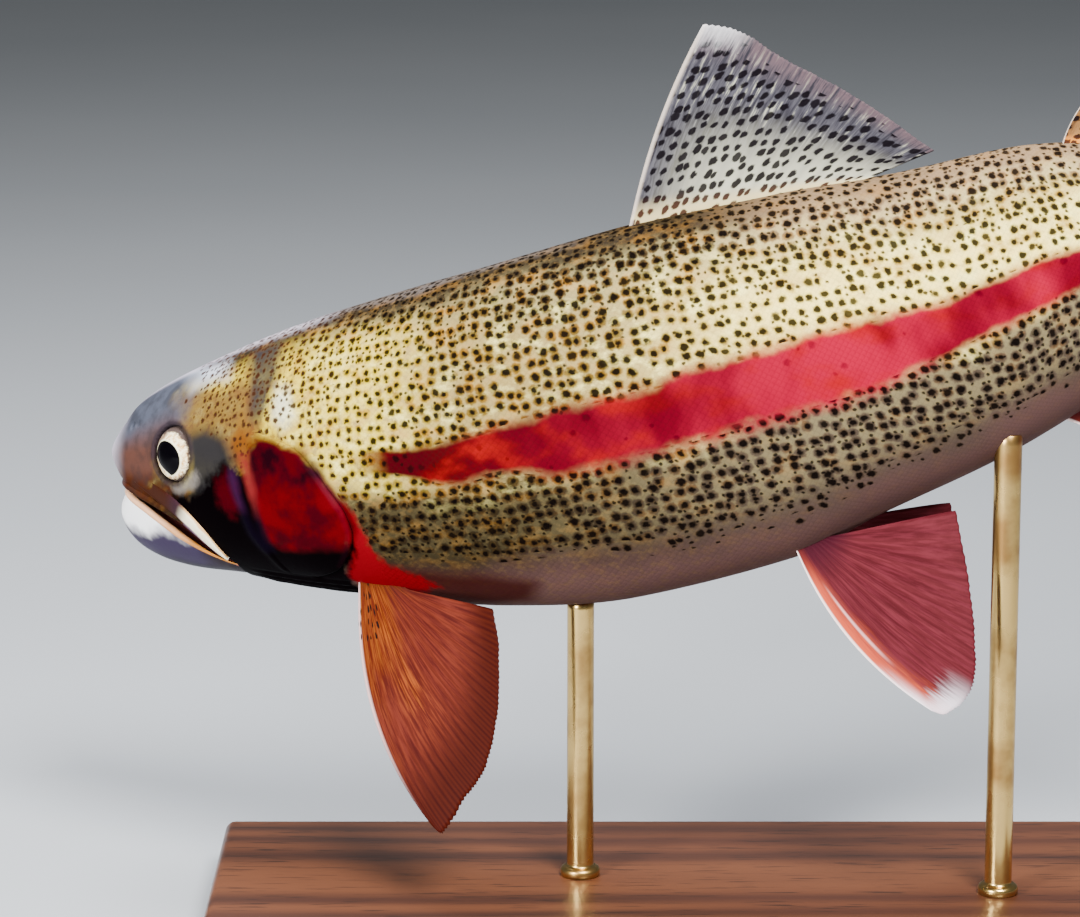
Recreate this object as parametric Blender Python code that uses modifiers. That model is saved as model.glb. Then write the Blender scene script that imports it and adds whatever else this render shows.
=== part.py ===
# Rainbow trout, life size, swimming with its mouth a little open, held on a display stand.
# The fish faces -X with its left side to -Y. The origin is the centre of the base's underside.
# A place on the body is given by t, the share of the body's length from the snout, and by phi,
# the angle round the section from the middle of the back, 0 to 180 degrees down the left side.

import math

import bmesh
import bpy
import numpy as np
from mathutils import Matrix, Vector
from mathutils.bvhtree import BVHTree

MM = 0.001
BODY_LENGTH = 0.400          # snout to the root of the tail fin
GAP = 0.0003                 # kept between neighbouring pieces
SEAT = 0.00045               # from the body to a fin's root edge, so that the skin's crown clears
CAST_BACK, CAST_REACH = 0.015, 0.06      # how a fin's root is seated: a ray's start and its reach
ANCHOR_T = 0.43              # this point of the backbone line stands at ANCHOR
ANCHOR = (-0.030, 0.0, 0.150)

# The backbone line's heading, in degrees, by t: turned away from -X, and rising towards the tail
YAW = {0: 33, 0.12: 33, 0.25: 28, 0.36: 18, 0.48: 8, 0.60: 2, 0.75: 0, 0.88: 6, 1: 16, 1.3: 24}
RISE = {0: 4, 0.12: 5, 0.24: 8, 0.34: 13, 0.43: 16, 0.52: 18, 0.65: 19.5, 0.78: 22, 0.9: 21,
        1: 18, 1.3: 16}

# Millimetres from the backbone line up to the back, down to the belly and out to each side
BACK = {0: 5, 0.007: 13.4, 0.02: 18, 0.048: 24.2, 0.10: 33, 0.17: 42.6, 0.24: 49.6, 0.34: 55,
        0.48: 57.6, 0.61: 53.6, 0.70: 47.6, 0.78: 43, 0.88: 30, 0.94: 23.5, 1: 25.5}
BELLY = {0: 7, 0.012: 20, 0.03: 25.8, 0.06: 28, 0.126: 30.5, 0.19: 34, 0.25: 37, 0.34: 44,
         0.43: 49, 0.54: 50, 0.61: 45.5, 0.70: 41.5, 0.78: 35.5, 0.88: 25.5, 0.94: 21.5, 1: 24}
SNOUT_BELLY = {0: 0.5, 0.018: 3.6, 0.036: 9, 0.07: 20, 0.10: 27.5, 0.126: 30.5}   # where the jaw hangs
WIDE = {0: 1.5, 0.010: 8.2, 0.025: 12, 0.045: 14.8, 0.085: 18.8, 0.15: 24, 0.23: 27.5, 0.40: 29,
        0.55: 28, 0.70: 23, 0.78: 18.5, 0.88: 11, 0.94: 8, 1: 3.6}
FULLNESS = {0: 2.0, 0.1: 2.15, 0.25: 2.1, 0.5: 2.1, 0.8: 2.0, 1: 2.0}   # power of the section's oval
NOSE_SHIFT = 0.0070          # the snout's tip lies this share of the length behind t 0
NOSE_FADE = 0.10             # and the sections behind it move back less and less, up to here

# The head parts from the trunk on a plane that leans: forward at the throat, back at the nape
HEAD_END = 0.2755
JAW_BACK = 3.4 * MM          # the lower jaw stops this much short of the snout
SLANT = {0: 0, 0.10: 0, 0.2755: 0.039, 0.40: 0, 1: 0}
TRUNK_SPLIT = 0.488
PEDUNCLE_SPLIT = 0.742
AROUND = 36

# The mouth: t and height in millimetres of the upper jaw's edge and of the lower jaw's lip
UPPER_LIP = [(-0.03, -2.2), (0.02, -3.2), (0.06, -6.5), (0.10, -12), (0.128, -18.5), (0.142, -24.5)]
LOWER_LIP = [(-0.03, -5), (0.02, -5.2), (0.05, -8.5), (0.075, -12.5), (0.10, -18), (0.125, -23),
             (0.1405, -26)]
CUTTER_REACH = 45 * MM
JAW_END = [(0.136, -30), (0.110, -48), (-0.03, -48)]
LIP_RADIUS = 1.2 * MM
LIP_SET = 0.9                # the lip's middle lies this many millimetres in from the jaw's edge
LIP_STATIONS = (0.115, 0.09, 0.068, 0.05, 0.035, 0.024, 0.016, 0.011, 0.008, 0.005, 0.003, 0.001)

EYE_T, EYE_PHI = 0.099, 76
EYE_RADIUS = 8.6 * MM
EYE_DEPTH = 6.4 * MM         # half the eyeball's thickness, along its axis
EYE_PROUD = 2.3 * MM
NOSTRILS = [(0.043, 50, 1.1 * MM), (0.052, 51, 0.9 * MM)]

# Gill cover: front and rear edges, as t by phi
GILL_TOP, GILL_BOTTOM = 69, 142
GILL_FRONT = {69: 0.176, 72: 0.167, 77: 0.163, 85: 0.170, 98: 0.180, 117: 0.184, 132: 0.181, 142: 0.186}
GILL_REAR = {69: 0.188, 72: 0.204, 77: 0.224, 86: 0.241, 92: 0.250, 101: 0.258, 109: 0.260, 119: 0.255,
             132: 0.240, 142: 0.216}
GILL_PROUD, GILL_INNER = 1.0 * MM, 2.2 * MM
HEAD_RADIUS = 28 * MM        # of the section at the gill cover
DEGREE = math.radians(1) * HEAD_RADIUS / BODY_LENGTH     # what one degree round it equals in t

# Upper jaw bone: t, phi along its middle, and half its width in millimetres
MAXILLA = [(0.052, 90, 1.0), (0.075, 95.5, 1.7), (0.100, 104, 2.2), (0.122, 117, 2.4), (0.139, 132, 1.5)]
MAXILLA_PROUD, MAXILLA_INNER = 1.1 * MM, 1.4 * MM

RIDGE = 0.42                 # share of a fin's thickness that falls away between two rays
FIN_EDGE = 0.7 * MM          # a fin's thickness at its edge

# Fins on the middle plane: first and last t of the root, and the tips of the rays as
# (t, height in mm) by their share of the way from the first ray to the last
DORSAL_ROOT = (0.499, 0.677)
DORSAL_TIPS = {0: (0.600, 106.8), 0.12: (0.6218, 102), 0.35: (0.648, 90), 0.6: (0.682, 76.3),
               0.8: (0.7075, 64), 0.93: (0.725, 54), 1: (0.732, 50.2)}
ADIPOSE_ROOT = (0.820, 0.848)
ADIPOSE_TIPS = {0: (0.868, 51), 0.5: (0.876, 47), 1: (0.871, 41)}
ANAL_ROOT = (0.752, 0.820)
ANAL_TIPS = {0: (0.838, -84), 0.15: (0.850, -84), 0.45: (0.870, -68), 0.75: (0.880, -53),
             1: (0.878, -41)}
TAIL_TOP, TAIL_BOTTOM = 24.6, -23.2      # heights of the first and the last ray's root
TAIL_TIPS = {0: (1.152, 53), 0.06: (1.172, 54), 0.15: (1.168, 46), 0.3: (1.150, 30), 0.5: (1.139, 2),
             0.7: (1.150, -27), 0.85: (1.168, -44), 0.94: (1.172, -52), 1: (1.152, -51)}

# Paired fins: the tips as (back, down) in mm on the fin's own plane
PECTORAL_ROOT = (0.247, 0.280)
PECTORAL_SPREAD = {0: (23, 75.5), 0.08: (25.2, 77), 0.25: (32.8, 67.4), 0.4: (38.5, 60.6),
                   0.55: (42, 50.6), 0.72: (44, 37.4), 0.88: (44.2, 24), 1: (42.5, 12)}
PECTORAL_FOLDED = {0: (76, 21), 0.1: (78, 22), 0.3: (74, 19), 0.6: (63, 13), 0.85: (51, 9), 1: (44, 7)}
PELVIC_ROOT = (0.545, 0.572)
PELVIC_TIPS = {0: (23, 56.5), 0.1: (26, 58.3), 0.28: (32, 56.5), 0.45: (37, 51.5), 0.65: (41, 40),
               0.82: (44.5, 24), 1: (47.5, 2.5)}

BASE_SIZE = (0.290, 0.115, 0.016)
BASE_EDGE = 3 * MM
ROD_RADIUS = 4 * MM
ROD_SIDES = 16
RODS = [("stand_rod_front", -0.035, 0.001), ("stand_rod_rear", 0.088, -0.0165)]   # name, x, y

SKIN_BACK = (0.42, 0.36, 0.20)
SKIN_FLANK = (0.62, 0.55, 0.34)
GILL_RED = (0.5, 0.03, 0.03)
JAW_WHITE = (0.8, 0.8, 0.75)
EYE_GOLD = (0.5, 0.45, 0.3)
FIN_GREY = (0.45, 0.44, 0.42)
FIN_BROWN = (0.30, 0.22, 0.12)
FIN_ORANGE = (0.45, 0.10, 0.05)
FIN_ROSE = (0.50, 0.12, 0.13)
WOOD = (0.12, 0.055, 0.025)
BRASS = (0.5, 0.38, 0.18)


def table(rows, at, by_root=False):
    """A smooth curve through the rows, with no overshoot; by_root spreads the rows near zero."""
    keys = np.array(sorted(rows), float)
    values = np.array([rows[k] for k in sorted(rows)], float)
    at = np.atleast_1d(np.asarray(at, float))
    if by_root:
        keys, at = np.sqrt(keys), np.sqrt(np.maximum(at, 0))
    step = np.diff(keys)
    rise = np.diff(values) / step
    slope = np.zeros(len(keys))
    slope[0], slope[-1] = rise[0], rise[-1]
    for i in range(1, len(keys) - 1):
        if rise[i - 1] * rise[i] > 0:
            w1, w2 = 2 * step[i] + step[i - 1], step[i] + 2 * step[i - 1]
            slope[i] = (w1 + w2) / (w1 / rise[i - 1] + w2 / rise[i])
    at = np.clip(at, keys[0], keys[-1])
    k = np.clip(np.searchsorted(keys, at, side="right") - 1, 0, len(step) - 1)
    u = (at - keys[k]) / step[k]
    return ((2 * u**3 - 3 * u**2 + 1) * values[k] + (u**3 - 2 * u**2 + u) * step[k] * slope[k]
            + (3 * u**2 - 2 * u**3) * values[k + 1] + (u**3 - u**2) * step[k] * slope[k + 1])


def backbone():
    """The line the body is built round, with its forward, left and up directions."""
    t = np.linspace(0, 1.3, 1301)
    yaw, rise = np.radians(table(YAW, t)), np.radians(table(RISE, t))
    along = np.stack([np.cos(yaw) * np.cos(rise), -np.sin(yaw) * np.cos(rise), np.sin(rise)], 1)
    steps = (along[1:] + along[:-1]) / 2 * np.diff(t)[:, None] * BODY_LENGTH
    line = np.concatenate([np.zeros((1, 3)), np.cumsum(steps, 0)])
    line += np.array(ANCHOR) - [np.interp(ANCHOR_T, t, line[:, i]) for i in range(3)]
    left = np.cross(along, [0, 0, 1.0])
    left /= np.linalg.norm(left, axis=1)[:, None]
    return t, line, along, left, np.cross(left, along)


LINE = backbone()


def frame_at(t):
    return [np.array([np.interp(t, LINE[0], rows[:, i]) for i in range(3)]) for rows in LINE[1:]]


def at(t, out, up):
    """A point given by t and by its distances left of and above the backbone line."""
    line, _, left, above = frame_at(t)
    return line + left * out + above * up


def skin(t, phi, belly=BELLY):
    """A point of the skin; phi in degrees, negative down the right side."""
    power = 2 / table(FULLNESS, t)[0]
    c, s = math.cos(math.radians(phi)), math.sin(math.radians(phi))
    height = table(BACK if c > 0 else belly, t, True)[0] * MM
    width = table(WIDE, t, True)[0] * MM
    place = t + NOSE_SHIFT * max(0, 1 - t / NOSE_FADE)**2
    return at(place, width * math.copysign(abs(s)**power, s), height * math.copysign(abs(c)**power, c))


def skin_normal(t, phi):
    around = skin(t, phi + 1) - skin(t, phi - 1)
    along = skin(t + 0.004, phi) - skin(t - 0.004, phi)
    n = np.cross(along, around) * (-1)
    return n / np.linalg.norm(n)


def material(name, colour, roughness=0.4):
    mat = bpy.data.materials.new(name)
    mat.use_nodes = True
    shader = mat.node_tree.nodes["Principled BSDF"]
    shader.inputs["Base Color"].default_value = (*colour, 1)
    shader.inputs["Roughness"].default_value = roughness
    return mat


def add_object(name, verts, faces, colour, roughness=0.4):
    mesh = bpy.data.meshes.new(name)
    mesh.from_pydata([tuple(v) for v in verts], [], faces)
    mesh.validate()
    obj = bpy.data.objects.new(name, mesh)
    mesh.materials.append(material(name, colour, roughness))
    trout.objects.link(obj)
    shell = bmesh.new()
    shell.from_mesh(mesh)
    bmesh.ops.recalc_face_normals(shell, faces=shell.faces)
    shell.to_mesh(mesh)
    shell.free()
    return obj


def largest_shell(obj):
    """Keeps the node's one largest closed surface."""
    shell = bmesh.new()
    shell.from_mesh(obj.data)
    bmesh.ops.remove_doubles(shell, verts=shell.verts, dist=1e-5)
    bmesh.ops.dissolve_degenerate(shell, edges=shell.edges, dist=1e-6)
    left, groups = set(shell.verts), []
    while left:
        group, queue = set(), [left.pop()]
        while queue:
            vert = queue.pop()
            group.add(vert)
            for edge in vert.link_edges:
                other = edge.other_vert(vert)
                if other in left:
                    left.remove(other)
                    queue.append(other)
        groups.append(group)
    keep = max(groups, key=len)
    bmesh.ops.delete(shell, geom=[v for v in shell.verts if v not in keep], context="VERTS")
    shell.to_mesh(obj.data)
    shell.free()


def combine(obj, other, operation):
    """Cuts obj by the other object, or joins them, and removes the other."""
    mod = obj.modifiers.new("combine", "BOOLEAN")
    mod.object, mod.operation, mod.solver = other, operation, "EXACT"
    result = bpy.data.meshes.new_from_object(obj.evaluated_get(bpy.context.evaluated_depsgraph_get()))
    obj.modifiers.clear()
    obj.data = result
    bpy.data.objects.remove(other)
    largest_shell(obj)


def ring_faces(rings, count):
    faces = []
    for r in range(rings - 1):
        for k in range(count):
            a, b = r * count + k, r * count + (k + 1) % count
            faces.append((a, b, b + count, a + count))
    return faces


def body_length(name, start, end, stations, colour, nose=False, belly=BELLY):
    """A length of the body between two t values, its ends closed flat or, at the snout, rounded."""
    if nose:
        rows = [end * (i / stations)**1.7 for i in range(stations + 1)]
    else:
        rows = [start + (end - start) * i / stations for i in range(stations + 1)]
    verts = []
    for t in rows:
        for k in range(AROUND):
            phi = 360 * k / AROUND
            verts.append(skin(t + table(SLANT, t)[0] * math.cos(math.radians(phi)), phi, belly))
    faces = ring_faces(len(rows), AROUND)
    for ring in (0, len(rows) - 1):
        first = ring * AROUND
        middle = sum(verts[first:first + AROUND]) / AROUND
        if nose and ring == 0:
            middle = middle - frame_at(0)[1] * 0.6 * MM
        verts.append(middle)
        tip = len(verts) - 1
        faces += [(tip, first + k, first + (k + 1) % AROUND) for k in range(AROUND)]
    return add_object(name, verts, faces, colour)


def prism(name, outline):
    """A cutter: an outline of (t, height in mm) on the middle plane, carried out to both sides."""
    verts = [at(t, side * CUTTER_REACH, up * MM) for side in (-1, 1) for t, up in outline]
    count = len(outline)
    faces = [tuple(range(count)), tuple(range(count, 2 * count))]
    faces += [(k, (k + 1) % count, count + (k + 1) % count, count + k) for k in range(count)]
    return add_object(name, verts, faces, SKIN_BACK)


def patch(name, columns, rows, place, proud, inner, colour, grow=0.0):
    """A curved plate on the skin: place(u, v) gives t and phi, proud(u, v) its height."""
    verts = []
    for layer in (0, 1):
        for j in range(rows + 1):
            for i in range(columns + 1):
                u, v = i / columns, j / rows
                t, phi = place(u, v)
                lift = proud(u, v) if layer == 0 else -inner - grow
                verts.append(skin(t, phi) + skin_normal(t, phi) * lift)
    return add_object(name, verts, slab_faces(columns, rows), colour)


def slab_faces(columns, rows):
    """Two grids of vertices, one behind the other, split alike and joined round their rim."""
    wide, layer = columns + 1, (columns + 1) * (rows + 1)
    faces, rim = [], []
    for j in range(rows):
        for i in range(columns):
            a = j * wide + i
            b, c, d = a + 1, a + wide + 1, a + wide
            for face in ((a, b, c), (a, c, d)):
                faces += [face, tuple(layer + k for k in reversed(face))]
    rim += [i for i in range(wide)]
    rim += [j * wide + columns for j in range(1, rows + 1)]
    rim += [rows * wide + i for i in range(columns - 1, -1, -1)]
    rim += [j * wide for j in range(rows - 1, 0, -1)]
    for k, a in enumerate(rim):
        b = rim[(k + 1) % len(rim)]
        faces += [(a, layer + a, layer + b), (a, layer + b, b)]
    return faces


def tube(name, points, radius):
    """A round bar along the points, made a closed mesh."""
    curve = bpy.data.curves.new(name, "CURVE")
    curve.dimensions, curve.use_fill_caps = "3D", True
    curve.bevel_depth, curve.bevel_resolution = radius, 2
    spline = curve.splines.new("POLY")
    spline.points.add(len(points) - 1)
    for k, point in enumerate(points):
        spline.points[k].co = (*point, 1)
    obj = bpy.data.objects.new(name, curve)
    trout.objects.link(obj)
    mesh = bpy.data.meshes.new_from_object(obj.evaluated_get(bpy.context.evaluated_depsgraph_get()))
    solid = bpy.data.objects.new(name + "_solid", mesh)
    trout.objects.link(solid)
    bpy.data.objects.remove(obj)
    shell = bmesh.new()
    shell.from_mesh(mesh)
    bmesh.ops.remove_doubles(shell, verts=shell.verts, dist=1e-5)
    bmesh.ops.recalc_face_normals(shell, faces=shell.faces)
    shell.to_mesh(mesh)
    shell.free()
    return solid


def facing(normal, centre):
    """The placing of a shape whose own Z axis looks along the normal."""
    turn = Vector(normal).to_track_quat("Z", "Y").to_matrix().to_4x4()
    return Matrix.Translation(Vector(centre)) @ turn


def ball(name, normal, centre, radius, depth, colour, segments=20):
    shell = bmesh.new()
    scale = Matrix.Diagonal((radius, radius, depth, 1))
    bmesh.ops.create_uvsphere(shell, u_segments=segments, v_segments=segments // 2, radius=1,
                              matrix=facing(normal, centre) @ scale)
    mesh = bpy.data.meshes.new(name)
    shell.to_mesh(mesh)
    shell.free()
    obj = bpy.data.objects.new(name, mesh)
    mesh.materials.append(material(name, colour, 0.1))
    trout.objects.link(obj)
    return obj


def ring(name, normal, centre, radius, thickness):
    """A ring of round section lying across the normal."""
    bpy.ops.mesh.primitive_torus_add(major_radius=radius, minor_radius=thickness,
                                     major_segments=20, minor_segments=6)
    obj = bpy.context.object
    obj.name = name
    obj.data.transform(facing(normal, centre))
    move_in(obj)
    return obj


def lip_path(edge, drop, belly, back=0.0):
    """The lip's line round the snout, from one corner of the mouth to the other, on a jaw
    that is still to be moved back."""
    heights = dict(edge)
    half = []
    for t in LIP_STATIONS:
        up = table(heights, t + back / BODY_LENGTH)[0] + drop
        reach = min(1.0, abs(up) / table(belly, t, True)[0])
        power = table(FULLNESS, t)[0] / 2
        half.append((t, 90 + math.degrees(math.asin(reach**power))))
        if reach == 1:
            break
    left = [skin(t, phi, belly) for t, phi in half]
    right = [skin(t, -phi, belly) for t, phi in reversed(half)]
    return left + right


def make_head():
    under = {**BELLY, **SNOUT_BELLY}
    for t in (0.012, 0.03, 0.06):
        del under[t]
    head = body_length("head", 0, HEAD_END, 21, SKIN_BACK, nose=True, belly=under)
    jaw = body_length("jaw_lower", 0, HEAD_END, 21, SKIN_BACK, nose=True)
    combine(head, tube("upper_lip", lip_path(UPPER_LIP, LIP_SET, under), LIP_RADIUS), "UNION")
    combine(jaw, tube("lower_lip", lip_path(LOWER_LIP, -LIP_SET, BELLY, JAW_BACK), LIP_RADIUS), "UNION")
    jaw.data.transform(Matrix.Translation(Vector(frame_at(0)[1] * JAW_BACK)))
    combine(head, prism("mouth", UPPER_LIP + [(t + 0.001, up) for t, up in JAW_END]), "DIFFERENCE")
    combine(jaw, prism("jaw_space", LOWER_LIP + JAW_END), "INTERSECT")
    for side, name in ((1, "left"), (-1, "right")):
        normal = skin_normal(EYE_T, side * EYE_PHI)
        surface = skin(EYE_T, side * EYE_PHI)
        centre = surface - normal * (EYE_DEPTH - EYE_PROUD)
        combine(head, ring("orbit", normal, surface - normal * 0.3 * MM, EYE_RADIUS + 0.3 * MM, 1.1 * MM),
                "UNION")
        ball("eye_" + name, normal, centre, EYE_RADIUS, EYE_DEPTH, EYE_GOLD)
        socket = ball("socket", normal, centre, EYE_RADIUS + GAP, EYE_DEPTH + GAP, SKIN_BACK)
        combine(head, socket, "DIFFERENCE")
        for t, phi, radius in NOSTRILS:
            pit = ball("nostril", skin_normal(t, side * phi), skin(t, side * phi), radius, radius,
                       SKIN_BACK, 12)
            combine(head, pit, "DIFFERENCE")
        make_plates(head, side, name)
    return head, jaw


def make_plates(head, side, name):
    """The gill cover and the upper jaw bone of one side, each let into the head."""
    def gill_place(grow):
        def place(u, v):
            phi = GILL_TOP - grow + (GILL_BOTTOM - GILL_TOP + 2 * grow) * v
            front = table(GILL_FRONT, phi)[0] - grow * DEGREE
            rear = table(GILL_REAR, phi)[0] + grow * DEGREE
            return front + (rear - front) * u, side * phi
        return place

    def gill_height(u, v):
        return GILL_PROUD * (0.35 + 0.65 * u) * (1 - abs(2 * v - 1)**4 * 0.7)

    grow = math.degrees(GAP / HEAD_RADIUS)
    patch("gill_cover_" + name, 8, 14, gill_place(0), gill_height, GILL_INNER, GILL_RED)
    recess = patch("recess", 8, 14, gill_place(grow), lambda u, v: 5 * MM, GILL_INNER, SKIN_BACK, GAP)
    combine(head, recess, "DIFFERENCE")

    middle = {t: phi for t, phi, _ in MAXILLA}
    half = {t: wide for t, _, wide in MAXILLA}
    first, last = MAXILLA[0][0], MAXILLA[-1][0]

    def bone_place(grow_mm):
        longer = grow_mm * MM / BODY_LENGTH
        def place(u, v):
            t = first - longer + (last - first + 2 * longer) * u
            reach = (table(half, t)[0] + grow_mm) / (table(BELLY, t, True)[0] * 0.85)
            return t, side * (table(middle, t)[0] + math.degrees(reach) * (2 * v - 1))
        return place

    patch("maxilla_" + name, 12, 3, bone_place(0), lambda u, v: MAXILLA_PROUD * (0.5 + 0.5 * u),
          MAXILLA_INNER, JAW_WHITE)
    recess = patch("recess", 12, 3, bone_place(0.32), lambda u, v: 4 * MM, MAXILLA_INNER, SKIN_BACK, GAP)
    combine(head, recess, "DIFFERENCE")


def solid_tree(objects):
    verts, faces = [], []
    for obj in objects:
        base = len(verts)
        verts += [v.co.copy() for v in obj.data.vertices]
        faces += [tuple(base + k for k in p.vertices) for p in obj.data.polygons]
    return BVHTree.FromPolygons(verts, faces)


def fin(name, rays, rows, path, root, edge, colour, inward=None, ridge=RIDGE):
    """A fin: path(f, r) runs from the root, r 0, to the edge, r 1, along the ray at share f.
    A ray stands as a ridge on both faces, with a hollow between it and the next.
    root is the thickness there, or a function of f. inward(f) leads from the root into the body,
    where the root is to be seated on the skin."""
    columns = 2 * (rays - 1)
    grid = np.array([[path(i / columns, j / rows) for i in range(columns + 1)] for j in range(rows + 1)])
    du, dv = np.gradient(grid, axis=1), np.gradient(grid, axis=0)
    normal = np.cross(du, dv)
    normal /= np.linalg.norm(normal, axis=2)[..., None]
    verts = []
    for side in (1, -1):
        face = np.zeros_like(grid)
        for j in range(rows + 1):
            for i in range(columns + 1):
                thick = root(i / columns) if callable(root) else root
                half = (thick + (edge - thick) * (j / rows)**0.8) / 2
                if i % 2 and (inward or j):
                    half *= 1 - ridge
                face[j, i] = grid[j, i] + side * normal[j, i] * half
        for i in range(columns + 1 if inward else 0):
            face[0, i] = seat(face[0, i], Vector(inward(i / columns)))
        verts += list(face.reshape(-1, 3))
    return add_object(name, verts, slab_faces(columns, rows), colour, 0.5)


def seat(point, inward):
    """The place just over the skin that lies inward or outward of the point."""
    hit, normal, _, _ = body_tree.ray_cast(Vector(point) - inward * CAST_BACK, inward, CAST_REACH)
    return np.array(hit - inward * (SEAT / abs(inward.dot(normal))))


def bend(start, end, bow):
    """A curve from start to end that bulges by the vector bow at its middle."""
    def point(r):
        return start + (end - start) * r + bow * (4 * r * (1 - r))
    return point


def rooted(first, last, profile, sign):
    """Roots of a fin's rays along the back or the belly, just over the skin."""
    def place(f):
        t = first + (last - first) * f
        return t, sign * (table(profile, t, True)[0] + 0.8)
    return place


def median_fin(name, roots, tip_rows, bow_mm, rays, rows, root, edge, colour, sway=0.0, inward=0,
               **other):
    """A fin on the middle plane: roots(f) and tips are (t, height in mm) by share f."""
    def path(f, r):
        t0, up0 = roots(f)
        t1, up1 = [table({k: v[n] for k, v in tip_rows.items()}, f)[0] for n in (0, 1)]
        bow = bow_mm * (1 - f)**2 * 4 * r * (1 - r)
        length = math.hypot((t1 - t0) * BODY_LENGTH / MM, up1 - up0)
        t = t0 + (t1 - t0) * r - bow * (up1 - up0) / length * abs(bow_mm) / bow_mm * MM / BODY_LENGTH
        up = up0 + (up1 - up0) * r + bow * (t1 - t0) * BODY_LENGTH / MM / length
        return at(t, sway * r * r, up * MM)
    def into_body(f):
        return frame_at(roots(f)[0])[3] * inward
    return fin(name, rays, rows, path, root, edge, colour, into_body if inward else None, **other)


def tail_root(f):
    """The tail fin starts as thick as the end of the peduncle that it grows from."""
    return 2 * WIDE[1] * MM * math.sqrt(1 - 0.93 * (2 * f - 1)**2)


def paired_fin(name, side, t0, t1, phi, back, down, tips, bow, rays, rows, root, edge, colour, cup):
    """A fin of one side: its plane's two directions in the body's own (along, out, up),
    and the tips as (back, down) in millimetres by share f."""
    _, along, left, above = frame_at(t0)
    axes = [along, left * side, above]
    first = sum(a * v for a, v in zip(axes, back))
    second = sum(a * v for a, v in zip(axes, down))
    first /= np.linalg.norm(first)
    second -= first * first.dot(second)
    second /= np.linalg.norm(second)
    out = np.cross(first, second)
    if out.dot(left * side) < 0:
        out = -out
    origin = skin(t0, side * phi)

    def path(f, r):
        start = skin(t0 + (t1 - t0) * f, side * phi)
        b, d = [table({k: v[n] for k, v in tips.items()}, f)[0] * MM for n in (0, 1)]
        end = origin + first * b + second * d
        lead = end - start
        across = np.cross(lead / np.linalg.norm(lead), out)
        if across.dot(first) > 0:
            across = -across
        return bend(start, end, across * bow * (1 - f)**1.5 + out * cup)(r)
    def into_body(f):
        return -skin_normal(t0 + (t1 - t0) * f, side * phi)
    return fin(name, rays, rows, path, root, edge, colour, into_body)


def make_fins():
    median_fin("fin_dorsal", rooted(*DORSAL_ROOT, BACK, 1), DORSAL_TIPS, 2.6, 12, 7, 3.0 * MM,
               FIN_EDGE, FIN_GREY, sway=3 * MM, inward=-1)
    median_fin("fin_adipose", rooted(*ADIPOSE_ROOT, BACK, 1), ADIPOSE_TIPS, 2.0, 4, 5, 2.8 * MM,
               1.2 * MM, FIN_BROWN, inward=-1, ridge=0.1)
    median_fin("fin_anal", rooted(*ANAL_ROOT, BELLY, -1), ANAL_TIPS, 2.5, 11, 6, 2.8 * MM,
               FIN_EDGE, FIN_ROSE, inward=1)
    median_fin("fin_tail", lambda f: (1 + GAP / BODY_LENGTH, TAIL_TOP + (TAIL_BOTTOM - TAIL_TOP) * f),
               TAIL_TIPS, 0.01, 19, 7, tail_root, 0.8 * MM, FIN_GREY)
    spread = dict(rays=12, rows=7, root=2.6 * MM, edge=FIN_EDGE, colour=FIN_ORANGE)
    paired_fin("fin_pectoral_left", 1, *PECTORAL_ROOT, 147, (1, -0.15, 0.05), (0, 0.45, -1),
               PECTORAL_SPREAD, bow=7.5 * MM, cup=1.5 * MM, **spread)
    paired_fin("fin_pectoral_right", -1, *PECTORAL_ROOT, 140, (1, 0.22, 0), (0, 0.3, -0.95),
               PECTORAL_FOLDED, bow=2.5 * MM, cup=4.0 * MM, **spread)
    spread = dict(rays=9, rows=7, root=2.6 * MM, edge=FIN_EDGE, colour=FIN_ROSE, cup=1.0 * MM)
    for side, name, phi, opened in ((1, "left", 160, 1.0), (-1, "right", 162, 0.93)):
        tips = {f: (b - (1 - opened) * 20, d * opened) for f, (b, d) in PELVIC_TIPS.items()}
        paired_fin("fin_pelvic_" + name, side, *PELVIC_ROOT, phi, (1, -0.08, 0), (0, 0.45, -1),
                   tips, bow=5 * MM, **spread)


def make_stand():
    bpy.ops.mesh.primitive_cube_add(size=1, location=(0, 0, BASE_SIZE[2] / 2))
    base = bpy.context.object
    base.name = "stand_base"
    base.data.transform(Matrix.Diagonal((*BASE_SIZE, 1)))
    base.data.materials.append(material("stand_base", WOOD))
    edge = base.modifiers.new("edge", "BEVEL")
    edge.width, edge.segments = BASE_EDGE, 3
    move_in(base)
    for name, x, y in RODS:
        outline = []
        for k in range(ROD_SIDES):
            a = 2 * math.pi * k / ROD_SIDES
            outline.append((x + ROD_RADIUS * math.cos(a), y + ROD_RADIUS * math.sin(a)))
        outline.append((x, y))
        verts = [(px, py, BASE_SIZE[2] + GAP) for px, py in outline]
        verts += [(px, py, belly_height(px, py)) for px, py in outline]
        low, high = ROD_SIDES, 2 * ROD_SIDES + 1      # the middles of the two ends
        faces = []
        for k in range(ROD_SIDES):
            n = (k + 1) % ROD_SIDES
            faces += [(low, n, k), (high, low + 1 + k, low + 1 + n), (k, n, low + 1 + n, low + 1 + k)]
        add_object(name, verts, faces, BRASS, 0.25)


def belly_height(x, y):
    """How high a rod reaches at this place: up to the belly, less the gap."""
    hit, normal, _, _ = body_tree.ray_cast(Vector((x, y, BASE_SIZE[2] + 0.01)), Vector((0, 0, 1)), 0.4)
    return hit.z - GAP * 1.1 / max(0.35, abs(normal.z))


def move_in(obj):
    for group in list(obj.users_collection):
        group.objects.unlink(obj)
    trout.objects.link(obj)


for old in list(bpy.data.objects):
    bpy.data.objects.remove(old)
trout = bpy.data.collections.new("rainbow_trout")
bpy.context.scene.collection.children.link(trout)

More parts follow.
